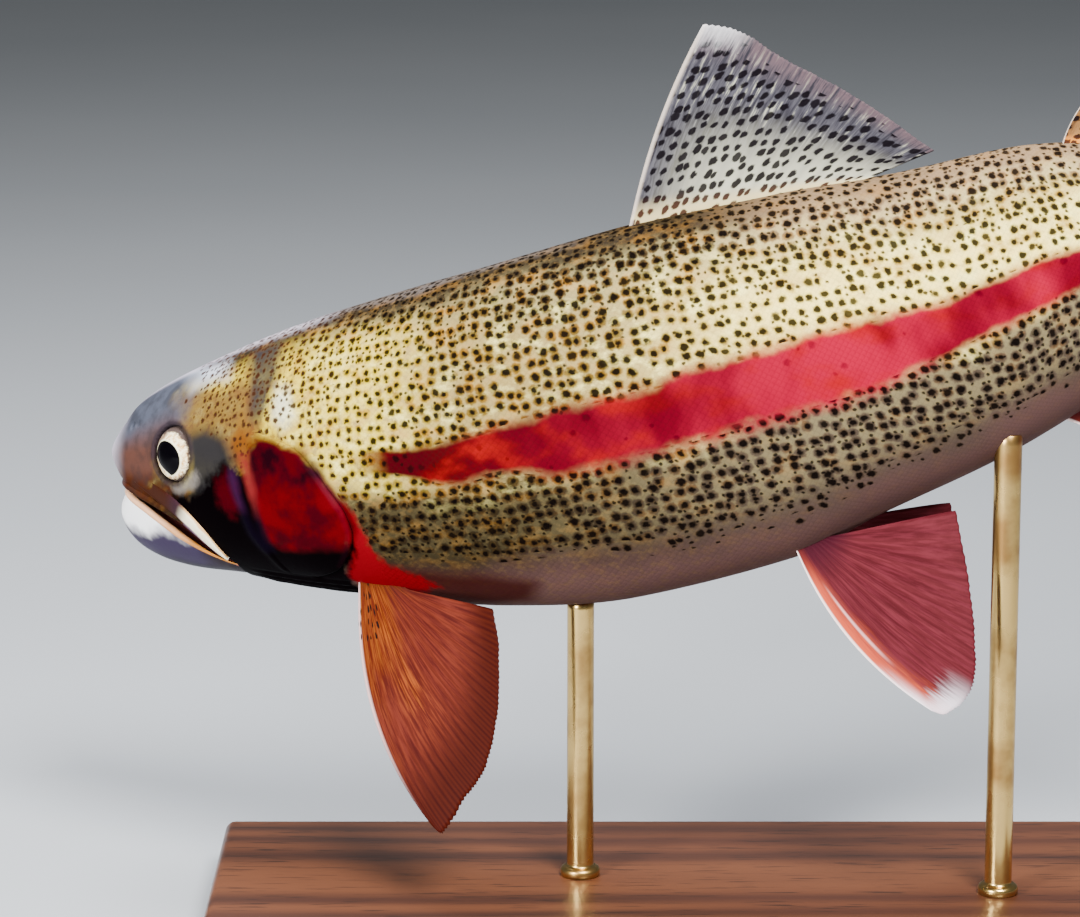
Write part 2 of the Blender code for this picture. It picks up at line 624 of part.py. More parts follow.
flesh = list(make_head())
seam = GAP / BODY_LENGTH * 1.1
flesh.append(body_length("trunk_front", HEAD_END + seam, TRUNK_SPLIT, 10, SKIN_FLANK))
flesh.append(body_length("trunk_rear", TRUNK_SPLIT + seam, PEDUNCLE_SPLIT, 10, SKIN_FLANK))
flesh.append(body_length("tail_peduncle", PEDUNCLE_SPLIT + seam, 1, 12, SKIN_FLANK))
body_tree = solid_tree(flesh)
make_fins()
make_stand()
for obj in trout.objects:
    obj.data.shade_smooth()
    obj.data.set_sharp_from_angle(angle=math.radians(50))
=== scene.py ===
import math

import bmesh
import bpy
import numpy as np
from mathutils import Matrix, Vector


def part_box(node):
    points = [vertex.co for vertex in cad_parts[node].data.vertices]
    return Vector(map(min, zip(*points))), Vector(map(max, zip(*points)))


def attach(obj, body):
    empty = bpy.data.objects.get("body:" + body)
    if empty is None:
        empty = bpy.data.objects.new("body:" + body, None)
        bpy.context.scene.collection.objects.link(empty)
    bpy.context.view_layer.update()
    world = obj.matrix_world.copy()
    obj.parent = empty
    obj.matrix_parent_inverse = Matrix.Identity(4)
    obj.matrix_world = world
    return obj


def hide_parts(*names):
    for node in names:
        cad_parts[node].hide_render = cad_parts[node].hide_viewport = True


# Rainbow trout, life size, on its stand. The fish faces -X with its left side to the camera.
# A place on the body is given by t, the share of its length from the snout, and phi, the degrees
# round the section from the middle of the back down to the middle of the belly.

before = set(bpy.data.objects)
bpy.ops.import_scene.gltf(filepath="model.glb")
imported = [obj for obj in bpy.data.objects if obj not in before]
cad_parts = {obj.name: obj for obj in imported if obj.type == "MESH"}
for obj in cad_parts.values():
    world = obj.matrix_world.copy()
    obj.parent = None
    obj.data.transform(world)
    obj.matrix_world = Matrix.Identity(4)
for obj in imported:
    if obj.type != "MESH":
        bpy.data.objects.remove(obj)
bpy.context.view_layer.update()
print("frame loaded with", len(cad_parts), "nodes")

mm = 0.001
body = {
    "length": 0.400,
    "anchorAt": 0.43,
    "anchor": (-0.030, 0.0, 0.150),
    "yaw": {0: 33, 0.12: 33, 0.25: 28, 0.36: 18, 0.48: 8, 0.60: 2, 0.75: 0, 0.88: 6, 1: 16, 1.3: 24},
    "rise": {0: 4, 0.12: 5, 0.24: 8, 0.34: 13, 0.43: 16, 0.52: 18, 0.65: 19.5, 0.78: 22, 0.9: 21,
             1: 18, 1.3: 16},
    # millimetres from the backbone line up to the back, down to the belly and out to each side
    "back": {0: 5, 0.007: 13.4, 0.02: 18, 0.048: 24.2, 0.10: 33, 0.17: 42.6, 0.24: 49.6, 0.34: 55,
             0.48: 57.6, 0.61: 53.6, 0.70: 47.6, 0.78: 43, 0.88: 30, 0.94: 23.5, 1: 25.5},
    "belly": {0: 7, 0.012: 20, 0.03: 25.8, 0.06: 28, 0.126: 30.5, 0.19: 34, 0.25: 37, 0.34: 44,
              0.43: 49, 0.54: 50, 0.61: 45.5, 0.70: 41.5, 0.78: 35.5, 0.88: 25.5, 0.94: 21.5, 1: 24},
    "wide": {0: 1.5, 0.010: 8.2, 0.025: 12, 0.045: 14.8, 0.085: 18.8, 0.15: 24, 0.23: 27.5, 0.40: 29,
             0.55: 28, 0.70: 23, 0.78: 18.5, 0.88: 11, 0.94: 8, 1: 3.6},
    "fullness": {0: 2.0, 0.1: 2.15, 0.25: 2.1, 0.5: 2.1, 0.8: 2.0, 1: 2.0},
    "noseShift": 0.0070,
    "noseFade": 0.10,
}
# the upper jaw's underside, where the lower jaw hangs away from it
snoutBelly = {0: 0.5, 0.018: 3.6, 0.036: 9, 0.07: 20, 0.10: 27.5}
snoutBelly.update({t: mmDown for t, mmDown in body["belly"].items() if t > 0.10})


def smoothTable(rows, at, byRoot=False):
    # a smooth curve through the rows with no overshoot
    keys = np.array(sorted(rows), float)
    values = np.array([rows[k] for k in sorted(rows)], float)
    at = np.asarray(at, float)
    if byRoot:
        keys, at = np.sqrt(keys), np.sqrt(np.maximum(at, 0))
    step = np.diff(keys)
    rise = np.diff(values) / step
    slope = np.zeros(len(keys))
    slope[0], slope[-1] = rise[0], rise[-1]
    for i in range(1, len(keys) - 1):
        if rise[i - 1] * rise[i] > 0:
            w1, w2 = 2 * step[i] + step[i - 1], step[i] + 2 * step[i - 1]
            slope[i] = (w1 + w2) / (w1 / rise[i - 1] + w2 / rise[i])
    at = np.clip(at, keys[0], keys[-1])
    k = np.clip(np.searchsorted(keys, at, side="right") - 1, 0, len(step) - 1)
    u = (at - keys[k]) / step[k]
    return ((2 * u**3 - 3 * u**2 + 1) * values[k] + (u**3 - 2 * u**2 + u) * step[k] * slope[k]
            + (3 * u**2 - 2 * u**3) * values[k + 1] + (u**3 - u**2) * step[k] * slope[k + 1])


def smoothStep(low, high, value):
    u = np.clip((value - low) / (high - low), 0, 1)
    return u * u * (3 - 2 * u)


def makeSpine():
    t = np.linspace(0, 1.3, 1301)
    yaw, rise = np.radians(smoothTable(body["yaw"], t)), np.radians(smoothTable(body["rise"], t))
    along = np.stack([np.cos(yaw) * np.cos(rise), -np.sin(yaw) * np.cos(rise), np.sin(rise)], 1)
    steps = (along[1:] + along[:-1]) / 2 * np.diff(t)[:, None] * body["length"]
    line = np.concatenate([np.zeros((1, 3)), np.cumsum(steps, 0)])
    line += np.array(body["anchor"]) - [np.interp(body["anchorAt"], t, line[:, i]) for i in range(3)]
    left = np.cross(along, [0, 0, 1.0])
    left /= np.linalg.norm(left, axis=1)[:, None]
    return t, (line, along, left, np.cross(left, along))


spineT, spineRows = makeSpine()


def spineAt(t):
    # the backbone's point and its directions to the tail, to the left and up
    return [np.stack([np.interp(t, spineT, rows[:, i]) for i in range(3)], -1) for rows in spineRows]


def bodyPoint(t, out, up):
    line, _, left, above = spineAt(t)
    return line + left * np.asarray(out)[..., None] + above * np.asarray(up)[..., None]


def noseMoved(t):
    return t + body["noseShift"] * np.maximum(0, 1 - t / body["noseFade"])**2


def skinPoint(t, phi, belly=None):
    t, phi = np.broadcast_arrays(np.asarray(t, float), np.asarray(phi, float))
    power = 2 / smoothTable(body["fullness"], t)
    c, s = np.cos(np.radians(phi)), np.sin(np.radians(phi))
    height = np.where(c > 0, smoothTable(body["back"], t, True),
                      smoothTable(belly or body["belly"], t, True)) * mm
    width = smoothTable(body["wide"], t, True) * mm
    return bodyPoint(noseMoved(t), width * np.sign(s) * np.abs(s)**power,
                     height * np.sign(c) * np.abs(c)**power)


nearby = 0.004                         # share of the length over which the skin's slope is taken


def skinNormal(t, phi, belly=None):
    around = skinPoint(t, phi + 1, belly) - skinPoint(t, phi - 1, belly)
    along = skinPoint(t + nearby, phi, belly) - skinPoint(t - nearby, phi, belly)
    n = -np.cross(along, around)
    return n / np.maximum(np.linalg.norm(n, axis=-1, keepdims=True), 1e-12)


def placeOf(points):
    # t, phi and side (1 left, -1 right) of points on or near the skin
    t = np.interp(points[:, 0], spineRows[0][:, 0], spineT)
    for _ in range(8):
        line, along, left, above = spineAt(t)
        t = np.clip(t + ((points - line) * along).sum(1) / body["length"], 0, 1.3)
    line, along, left, above = spineAt(t)
    out, up = ((points - line) * left).sum(1), ((points - line) * above).sum(1)
    shape = t
    for _ in range(6):
        shape = np.maximum(t - (noseMoved(shape) - shape), 0)
    height = np.where(up > 0, smoothTable(body["back"], shape, True),
                      smoothTable(body["belly"], shape, True)) * mm
    width = smoothTable(body["wide"], shape, True) * mm
    power = smoothTable(body["fullness"], shape) / 2
    phi = np.degrees(np.arctan2((np.abs(out) / width)**power,
                                np.sign(up) * (np.abs(up) / height)**power))
    return shape, phi, np.where(out < 0, -1, 1)


# places on the body, as (t, phi)
degreeSize = 0.55 * mm                 # what one degree round the body measures, for the zones' shapes
gillTop, gillBottom = 69, 142
gillFront = {69: 0.176, 72: 0.167, 77: 0.163, 85: 0.170, 98: 0.180, 117: 0.184, 132: 0.181, 142: 0.186}
gillRear = {69: 0.188, 72: 0.204, 77: 0.224, 86: 0.241, 92: 0.250, 101: 0.258, 109: 0.260, 119: 0.255,
            132: 0.240, 142: 0.216}
cheekRidge = [(0.150, 66), (0.159, 75), (0.166, 86), (0.171, 99), (0.175, 113), (0.184, 126), (0.190, 138)]
eyePlace = (0.099, 76)
stripeTop = {0.20: 80, 0.29: 79, 0.31: 80, 0.36: 78, 0.42: 76, 0.48: 75.5, 0.54: 73, 0.64: 73,
             0.70: 75, 0.76: 73, 0.85: 74, 1.0: 76}
stripeBottom = {0.20: 84, 0.284: 86, 0.306: 88, 0.344: 92, 0.376: 91, 0.42: 95, 0.57: 95, 0.62: 96.5,
                0.70: 94, 0.766: 91, 0.85: 90, 1.0: 92}
zoneShapes = {
    "gillRed": [(0.178, 81), (0.182, 75), (0.191, 72), (0.209, 72), (0.228, 75), (0.242, 81),
                (0.253, 88), (0.262, 98), (0.264, 108), (0.256, 117), (0.236, 120), (0.212, 122),
                (0.197, 122), (0.188, 117), (0.185, 107), (0.181, 92)],
    "gillEdge": [(0.173, 78), (0.177, 92), (0.180, 108), (0.183, 122), (0.190, 124), (0.188, 108),
                 (0.185, 92), (0.183, 78)],
    "shoulderRed": [(0.252, 95), (0.262, 98), (0.270, 108), (0.272, 120), (0.282, 129), (0.298, 134),
                    (0.306, 142), (0.290, 150), (0.268, 152), (0.250, 148), (0.240, 139), (0.250, 124),
                    (0.258, 110)],
    "shoulderShade": [(0.268, 124), (0.294, 129), (0.337, 132), (0.372, 140), (0.360, 154), (0.300, 168),
                     (0.255, 160)],
    "cheekBlackAndShade": [(0.090, 98), (0.097, 96), (0.116, 96), (0.131, 91), (0.142, 85), (0.153, 81.5),
                   (0.170, 82), (0.185, 86), (0.200, 105), (0.225, 115), (0.252, 112), (0.260, 118),
                   (0.250, 130), (0.242, 140), (0.246, 160), (0.252, 186), (0.050, 186), (0.085, 156),
                   (0.112, 148), (0.120, 128), (0.105, 112)],
    "cheekRed": [(0.146, 88), (0.159, 85), (0.167, 90), (0.169, 99), (0.160, 106), (0.146, 98)],
    "cheekGold": [(0.164, 72), (0.172, 68), (0.186, 68), (0.189, 76), (0.182, 81), (0.174, 86),
                  (0.167, 82)],
    "napeTan": [(0.080, 36), (0.118, 39), (0.154, 44), (0.172, 40), (0.190, 52), (0.188, 70),
                (0.172, 84), (0.150, 82), (0.118, 78), (0.080, 70)],
    "napeHighlight": [(0.098, 14), (0.145, 24), (0.152, 40), (0.116, 38)],
    "napeGrey": [(0.168, 22), (0.198, 26), (0.206, 46), (0.200, 60), (0.190, 66), (0.180, 58), (0.173, 42)],
    "gillLight": [(0.203, 50), (0.220, 52), (0.228, 66), (0.212, 70), (0.202, 64)],
    "snoutGrey": [(-0.02, -5), (0.150, -5), (0.110, 24), (0.106, 40), (0.112, 60), (0.108, 84),
                  (0.100, 94), (0.080, 98), (0.050, 101), (-0.02, 120)],
    "eyeShade": [(0.118, 67), (0.136, 65), (0.156, 70), (0.168, 80), (0.166, 98), (0.118, 99)],
    "palePatch": [(0.096, 92.5), (0.112, 87.5), (0.126, 84), (0.130, 87), (0.121, 92), (0.104, 95)],
}
coatEdge = [(0.196, -5), (0.200, 40), (0.192, 60), (0.214, 68), (0.238, 78), (0.256, 90), (0.268, 104),
            (0.270, 120), (0.272, 150), (0.268, 185), (1.06, 185), (1.06, -5)]
lineShapes = {
    "cheekLine": [(0.164, 86), (0.170, 99), (0.174, 113), (0.181, 123)],
    "goldLine": [(0.172, 72), (0.178, 58), (0.181, 48), (0.173, 38)],
    "gillRim": [(0.238, 82), (0.250, 91), (0.258, 101), (0.259, 110), (0.253, 119), (0.242, 130)],
}


def fieldOf(t, phi, corners, closed=True):
    # distance in metres from a line of places, positive inside it where it is closed
    scale = np.array([body["length"], degreeSize])
    p = np.stack([t, phi], -1) * scale
    c = np.array(corners, float) * scale
    best = np.full(len(p), 1e9)
    inside = np.zeros(len(p), bool)
    for k in range(len(c) if closed else len(c) - 1):
        a, b = c[k], c[(k + 1) % len(c)]
        u = np.clip(((p - a) @ (b - a)) / ((b - a) @ (b - a)), 0, 1)
        best = np.minimum(best, np.linalg.norm(p - a - u[:, None] * (b - a), axis=1))
        if closed and a[1] != b[1]:
            cross = (p[:, 0] - a[0]) < (b[0] - a[0]) * (p[:, 1] - a[1]) / (b[1] - a[1])
            inside ^= ((a[1] > p[:, 1]) != (b[1] > p[:, 1])) & cross
    return np.where(inside, best, -best) if closed else best


spotSpacing = {0: 2.6, 0.14: 2.9, 0.22: 3.2, 0.32: 3.5, 0.5: 3.8, 0.72: 3.8, 0.80: 3.3, 1: 3.0}   # mm


def makeGirthTable():
    # distance round the skin from the middle of the back, by t and phi
    t, phi = np.linspace(0, 1, 161), np.linspace(0, 180, 91)
    points = skinPoint(t[:, None], phi[None, :])
    steps = np.linalg.norm(np.diff(points, axis=1), axis=2)
    return np.concatenate([np.zeros((len(t), 1)), np.cumsum(steps, 1)], 1)


girthTable = makeGirthTable()
slices = 1000
spotSteps = body["length"] / slices / (smoothTable(spotSpacing, (np.arange(slices) + 0.5) / slices) * mm)
spotCount = np.concatenate([[0], np.cumsum(spotSteps)])
sideShift = 200                        # keeps the right side's spots apart from the left side's


def girthAt(t, phi):
    x = np.clip(t, 0, 0.99999) * (girthTable.shape[0] - 1)
    y = np.clip(phi / 180, 0, 0.99999) * (girthTable.shape[1] - 1)
    i, j = x.astype(int), y.astype(int)
    u, v = x - i, y - j
    return (girthTable[i, j] * (1 - u) * (1 - v) + girthTable[i + 1, j] * u * (1 - v)
            + girthTable[i, j + 1] * (1 - u) * v + girthTable[i + 1, j + 1] * u * v)


def setFloat(mesh, name, values):
    mesh.attributes.new(name, "FLOAT", "POINT").data.foreach_set("value", values.astype(np.float32))


def setVector(mesh, name, values):
    attribute = mesh.attributes.new(name, "FLOAT_VECTOR", "POINT")
    attribute.data.foreach_set("vector", values.astype(np.float32).ravel())


def vertsOf(mesh):
    co = np.zeros(len(mesh.vertices) * 3)
    mesh.vertices.foreach_get("co", co)
    return co.reshape(-1, 3)


def eyeAxis(side):
    t, phi = eyePlace
    return skinPoint(t, side * phi), skinNormal(np.array(t), np.array(side * phi))


headHalf = 12 * mm                     # less than the eye lies from the head's middle


def offAxis(points, centre, normal):
    # distance from an axis, for points on its own side of the head
    rel = points - centre
    depth = rel @ normal
    away = np.linalg.norm(rel - depth[:, None] * normal, axis=1)
    return np.where(depth > -headHalf, away, 1.0)


def markPlaces(obj):
    # writes where on the body each vertex is: the zones as attributes, the spots' map as a UV map
    mesh = obj.data
    points = vertsOf(mesh)
    t, phi, side = placeOf(points)
    for name, corners in zoneShapes.items():
        setFloat(mesh, name, fieldOf(t, phi, corners) / mm)
    for name, corners in lineShapes.items():
        setFloat(mesh, name, -fieldOf(t, phi, corners, False) / mm)
    top, bottom = smoothTable(stripeTop, t), smoothTable(stripeBottom, t)
    setFloat(mesh, "stripe", (phi - (top + bottom) / 2) / ((bottom - top) / 2))
    setFloat(mesh, "along", t)
    setFloat(mesh, "round", phi / 180)
    fromEye = np.minimum(*[offAxis(points, *eyeAxis(s)) for s in (1, -1)])
    setFloat(mesh, "fromEye", np.minimum(fromEye / mm, 50))
    cells = girthAt(t, phi) / (smoothTable(spotSpacing, t) * mm)
    counts = np.interp(t, np.linspace(0, 1, len(spotCount)), spotCount)
    corner = np.zeros(len(mesh.loops), np.int32)
    mesh.loops.foreach_get("vertex_index", corner)
    start, total = np.zeros(len(mesh.polygons), np.int32), np.zeros(len(mesh.polygons), np.int32)
    mesh.polygons.foreach_get("loop_start", start)
    mesh.polygons.foreach_get("loop_total", total)
    faceSide = np.sign(np.add.reduceat(side[corner] * np.minimum(1, phi[corner]), start) + 1e-9)
    cornerSide = np.repeat(faceSide, total)
    uv = mesh.uv_layers.new(name="spotMap")
    pairs = np.stack([counts[corner], cells[corner] * cornerSide + sideShift], 1)
    uv.data.foreach_set("uv", pairs.astype(np.float32).ravel())


def addObject(name, data):
    obj = bpy.data.objects.new(name, data)
    bpy.context.scene.collection.objects.link(obj)
    return obj


def newObject(name, verts, faces):
    # a closed, smooth mesh object, its faces turned outwards
    mesh = bpy.data.meshes.new(name)
    mesh.from_pydata([tuple(v) for v in verts], [], faces)
    shell = bmesh.new()
    shell.from_mesh(mesh)
    bmesh.ops.remove_doubles(shell, verts=shell.verts, dist=2e-6)
    bmesh.ops.dissolve_degenerate(shell, edges=shell.edges, dist=1e-7)
    bmesh.ops.recalc_face_normals(shell, faces=shell.faces)
    shell.to_mesh(mesh)
    shell.free()
    mesh.shade_smooth()
    return addObject(name, mesh)


def tubeFaces(rows, around):
    r, k = np.meshgrid(np.arange(rows - 1), np.arange(around), indexing="ij")
    a = (r * around + k).ravel()
    b = (r * around + (k + 1) % around).ravel()
    return np.stack([a, b, b + around, a + around], 1).tolist()


def closedTube(name, rings, frontPole, rearPole):
    # a skin through the rings, closed by a point at each end
    rows, around = rings.shape[:2]
    verts = list(rings.reshape(-1, 3)) + [frontPole, rearPole]
    faces = tubeFaces(rows, around)
    last = (rows - 1) * around
    for k in range(around):
        n = (k + 1) % around
        faces.append([rows * around, n, k])
        faces.append([rows * around + 1, last + k, last + n])
    return newObject(name, verts, faces)


def slabFaces(rows, columns):
    # two sheets of rows x columns vertices, joined round their rim
    r, k = np.meshgrid(np.arange(rows - 1), np.arange(columns - 1), indexing="ij")
    a = (r * columns + k).ravel()
    front = np.stack([a, a + 1, a + 1 + columns, a + columns], 1)
    layer = rows * columns
    rim = list(range(columns)) + [j * columns + columns - 1 for j in range(1, rows)]
    rim += [(rows - 1) * columns + i for i in range(columns - 2, -1, -1)]
    rim += [j * columns for j in range(rows - 2, 0, -1)]
    nextOnes = rim[1:] + rim[:1]
    sides = [[i, layer + i, layer + n, n] for i, n in zip(rim, nextOnes)]
    return front.tolist() + (front[:, ::-1] + layer).tolist() + sides


# materials


def tone(red, green, blue):
    # a colour as it looks on screen, 0 to 255, made linear
    parts = [v / 255 for v in (red, green, blue)]
    return tuple(v / 12.92 if v < 0.04045 else ((v + 0.055) / 1.055)**2.4 for v in parts) + (1,)


class Paint:
    # a material's node tree, with short calls for the nodes that it is built from
    def __init__(self, name, roughness, sockets=None):
        self.material = bpy.data.materials.new(name)
        self.material.use_nodes = True
        self.tree = self.material.node_tree
        self.shader = self.tree.nodes["Principled BSDF"]
        self.shader.inputs["Roughness"].default_value = roughness
        for key, value in (sockets or {}).items():
            self.shader.inputs[key].default_value = value

    def node(self, kind, **settings):
        made = self.tree.nodes.new("ShaderNode" + kind)
        for key, value in settings.items():
            setattr(made, key, value)
        return made

    def feed(self, socket, value):
        if hasattr(value, "is_output"):
            self.tree.links.new(value, socket)
        else:
            socket.default_value = value

    def fedNode(self, kind, values, **settings):
        # a node whose first sockets get these values
        made = self.node(kind, **settings)
        for socket, value in zip(made.inputs, values):
            self.feed(socket, value)
        return made

    def math(self, operation, *values):
        return self.fedNode("Math", values, operation=operation).outputs[0]

    def chain(self, operation, first, rest):
        for value in rest:
            first = self.math(operation, first, value)
        return first

    def times(self, first, *rest):
        return self.chain("MULTIPLY", first, rest)

    def plus(self, first, *rest):
        return self.chain("ADD", first, rest)

    def minus(self, first, *rest):
        return self.chain("SUBTRACT", first, rest)

    def larger(self, a, b):
        return self.math("MAXIMUM", a, b)

    def hypot(self, a, b):
        return self.math("POWER", self.plus(self.math("POWER", a, 2.0), self.math("POWER", b, 2.0)), 0.5)

    def vector(self, operation, *values):
        return self.fedNode("VectorMath", values, operation=operation).outputs[0]

    def attribute(self, name, output="Fac"):
        return self.node("Attribute", attribute_name=name).outputs[output]

    def mapped(self, value, low, high, newLow=0.0, newHigh=1.0, smooth=True):
        return self.fedNode("MapRange", (value, low, high, newLow, newHigh),
                            interpolation_type="SMOOTHSTEP" if smooth else "LINEAR").outputs[0]

    def swing(self, noise, reach):
        # a noise, spread out to run from -reach to reach
        return self.mapped(noise, 0.3, 0.7, -reach, reach, False)

    def mix(self, factor, a, b):
        made = self.node("Mix", data_type="RGBA")
        self.feed(made.inputs["Factor"], factor)
        self.feed(made.inputs[6], a)
        self.feed(made.inputs[7], b)
        return made.outputs[2]

    def objectPlace(self):
        return self.node("TexCoord").outputs["Object"]

    def noise(self, place, scale, detail=3.0, roughness=0.5, output="Fac"):
        made = self.node("TexNoise")
        self.feed(made.inputs["Vector"], place)
        made.inputs["Scale"].default_value = scale
        made.inputs["Detail"].default_value = detail
        made.inputs["Roughness"].default_value = roughness
        return made.outputs[output]

    def stretched(self, place, scale):
        made = self.node("Mapping")
        self.feed(made.inputs["Vector"], place)
        made.inputs["Scale"].default_value = scale
        return made.outputs[0]

    def colour(self, value):
        self.feed(self.shader.inputs["Base Color"], value)

    def bump(self, height, strength, distance):
        made = self.node("Bump")
        made.inputs["Strength"].default_value = strength
        made.inputs["Distance"].default_value = distance
        self.feed(made.inputs["Height"], height)
        self.tree.links.new(made.outputs[0], self.shader.inputs["Normal"])


skinTones = {
    "back": tone(38, 31, 22),
    "shoulder": tone(194, 168, 42),
    "flank": tone(255, 226, 116),
    # low, lowRear and belly: own colours darkened with painted shade
    "low": tone(27, 20, 12),
    "lowRear": tone(64, 54, 46),
    "belly": tone(80, 57, 54),
    "mottle": tone(146, 98, 28),
    "saddle": tone(100, 77, 22),
    "backRear": tone(128, 104, 78),
    "cheekNavy": tone(7, 3, 14),
    "smudge": tone(96, 74, 40),
    "gillLight": tone(222, 228, 214),
    "net": tone(236, 216, 146),
    "pale": tone(255, 242, 142),
    "crown": tone(66, 69, 80),
    "snout": tone(76, 49, 41),
    "mouthGold": tone(60, 26, 10),
    # the colour of the painted rim-light highlights on the snout and crown
    "rim": tone(210, 202, 216),
    "backRimLight": tone(118, 110, 108),
    "napeTan": tone(80, 52, 34),
    "napeGrey": tone(33, 32, 42),
    "napeHighlight": tone(200, 208, 222),
    "eyeShade": tone(34, 33, 34),
    "palePatch": tone(104, 98, 92),
    "stripeFront": tone(54, 3, 5),
    "stripeRear": tone(146, 2, 40),
    "stripeDark": tone(54, 1, 8),
    "stripeHot": tone(136, 8, 9),
    "gill": tone(80, 1, 8),
    "gillDark": tone(22, 1, 6),
    "gillEdge": tone(110, 30, 30),
    "gillRim": tone(70, 26, 44),
    "cheekBlackAndShade": tone(2, 0, 1),
    "cheekRed": tone(54, 0, 6),
    "cheekBlue": tone(44, 14, 46),
    "cheekGold": tone(98, 47, 6),
    "goldLine": tone(112, 72, 22),
    "shoulderRed": tone(104, 1, 12),
    "shoulderShade": tone(42, 6, 5),
    "orbit": tone(36, 31, 38),
    "spotFront": tone(48, 24, 14),
    "spot": tone(3, 1, 2),
    "spotHalo": tone(78, 62, 30),
}


spotForm = {
    "bend": 0.30,                      # how far the cells are pushed about, in cells
    "scatter": 0.52,                   # 0 sets the spots in a grid, 1 at random
    "sizes": (0.80, 1.18),
    "faintest": 0.955,
    "wander": 0.05,                    # how far a spot's edge wanders, in cells
    "haloEdge": 2.0,                   # a halo's edge to a spot's edge
    "between": (0.34, 0.56),           # how far from a spot's middle the ground between starts and is full
}


def spotLayer(p, place, scale, radius, edge, shift, keep):
    # round dark spots, at most one to a cell: returns the spots, their halos and the ground between
    shifted = p.vector("ADD", place, (shift, shift * 1.7, 0))
    push = spotForm["bend"] / scale
    drift = p.noise(shifted, scale * 1.25, 1.0, output="Color")
    bent = p.vector("MULTIPLY_ADD", drift, (push, push, 0), shifted)
    cells = p.node("TexVoronoi", voronoi_dimensions="2D")
    p.feed(cells.inputs["Vector"], bent)
    cells.inputs["Scale"].default_value = scale
    cells.inputs["Randomness"].default_value = spotForm["scatter"]
    chances = p.fedNode("SeparateColor", [cells.outputs["Color"]]).outputs
    size = p.times(p.mapped(chances[0], 0, 1, *spotForm["sizes"], smooth=False), radius)
    kept = p.math("GREATER_THAN", keep, chances[1])
    wander = p.swing(p.noise(shifted, scale * 3.6, 1), spotForm["wander"])
    distance = p.plus(cells.outputs["Distance"], wander)
    inner = p.minus(size, edge)
    dark = p.mapped(chances[2], 0.0, 0.28, spotForm["faintest"], 1.0)
    spots = p.times(p.mapped(distance, p.plus(size, edge), inner), kept, dark)
    halo = p.times(kept, p.mapped(distance, p.plus(size, edge * spotForm["haloEdge"]), inner))
    between = p.larger(p.mapped(distance, *spotForm["between"]), p.minus(1.0, kept))
    return spots, halo, between


class SkinPaint(Paint):
    # a paint that knows where on the body it is
    def __init__(self, name):
        super().__init__(name, 0.46, {"Specular IOR Level": 0.006})
        self.place = self.objectPlace()
        self.spotMap = self.node("UVMap", uv_map="spotMap").outputs[0]
        self.broad = self.noise(self.place, 34, 3)
        self.fine = self.noise(self.place, 260, 4, 0.6)
        self.cloudy = self.noise(self.place, 70, 3)
        self.along, self.fromBack = self.attribute("along"), self.attribute("round")
        self.ragged = self.plus(self.fromBack, self.swing(self.broad, 0.035))
        self.above = self.mapped(self.ragged, 0.56, 0.48)

    def zone(self, name, soft, rag, source):
        # 1 inside a zone and 0 outside, its edge soft and ragged by so many mm
        field = self.plus(self.attribute(name), self.swing(source, rag))
        return self.mapped(field, -soft, soft)

    def wash(self, colour, name, soft, rag, weight, source=None):
        # lays a zone's own colour over what is there
        share = self.times(self.zone(name, soft, rag, source or self.broad), weight)
        return self.mix(share, colour, skinTones[name])


def groundColours(p):
    # from the back down to the belly, mottled gold and pale, with painted highlights on the back and upper
    # flank and painted shade low down
    along, ragged, above = p.along, p.ragged, p.above
    back = p.mix(p.mapped(along, 0.53, 0.64), skinTones["back"], skinTones["backRear"])
    front = p.mix(p.mapped(along, 0.28, 0.36), skinTones["shoulder"], skinTones["saddle"])
    saddle = p.times(p.mapped(along, 0.36, 0.43), p.mapped(along, 0.62, 0.53, 0.3, 1.0))
    backStart = p.mapped(saddle, 0, 1, 0.12, 0.17, False)
    backEnd = p.mapped(saddle, 0, 1, 0.26, 0.40, False)
    colour = p.mix(p.mapped(ragged, backStart, backEnd), back, front)
    rear = p.times(p.mapped(ragged, 0.18, 0.36), p.mapped(along, 0.45, 0.62))
    colour = p.mix(rear, colour, skinTones["flank"])
    # the lower flank and the belly: their own colours, darkened with painted shade, most of all low down at
    # the front
    low = p.mix(p.mapped(along, 0.36, 0.60), skinTones["low"], skinTones["lowRear"])
    colour = p.mix(p.mapped(ragged, 0.455, 0.535), colour, low)
    colour = p.mix(p.mapped(ragged, 0.66, 0.82), colour, skinTones["belly"])
    mottle = p.noise(p.stretched(p.spotMap, (0.40, 0.62, 1)), 1.0, 4, 0.62)
    golden = p.times(p.mapped(mottle, 0.48, 0.70), p.mapped(above, 0, 1, 0.22, 0.72, False),
                     p.mapped(ragged, 0.04, 0.20, 0.35, 1.0), p.mapped(ragged, 0.74, 0.62, 0.2, 1.0))
    colour = p.mix(golden, colour, skinTones["mottle"])
    # painted highlight: pale yellow patches of light on the upper flank and back
    pale = p.times(p.mapped(mottle, 0.50, 0.30), p.mapped(along, 0.40, 0.56, 0.50, 0.75), above,
                   p.mapped(ragged, 0.14, 0.30))
    colour = p.mix(pale, colour, skinTones["pale"])
    smudge = p.mapped(p.noise(p.spotMap, 1.5, 3, 0.65), 0.46, 0.68)
    smudge = p.times(smudge, p.mapped(along, 0.62, 0.40, 0.25, 0.70), p.mapped(above, 0, 1, 0.4, 1.0, False))
    colour = p.mix(smudge, colour, skinTones["smudge"])
    # painted rim light: a pale grey highlight along the top of the back, on the front half of the body
    rim = p.times(p.mapped(ragged, 0.085, 0.035), p.mapped(along, 0.50, 0.38), 0.42)
    return p.mix(rim, colour, skinTones["backRimLight"])


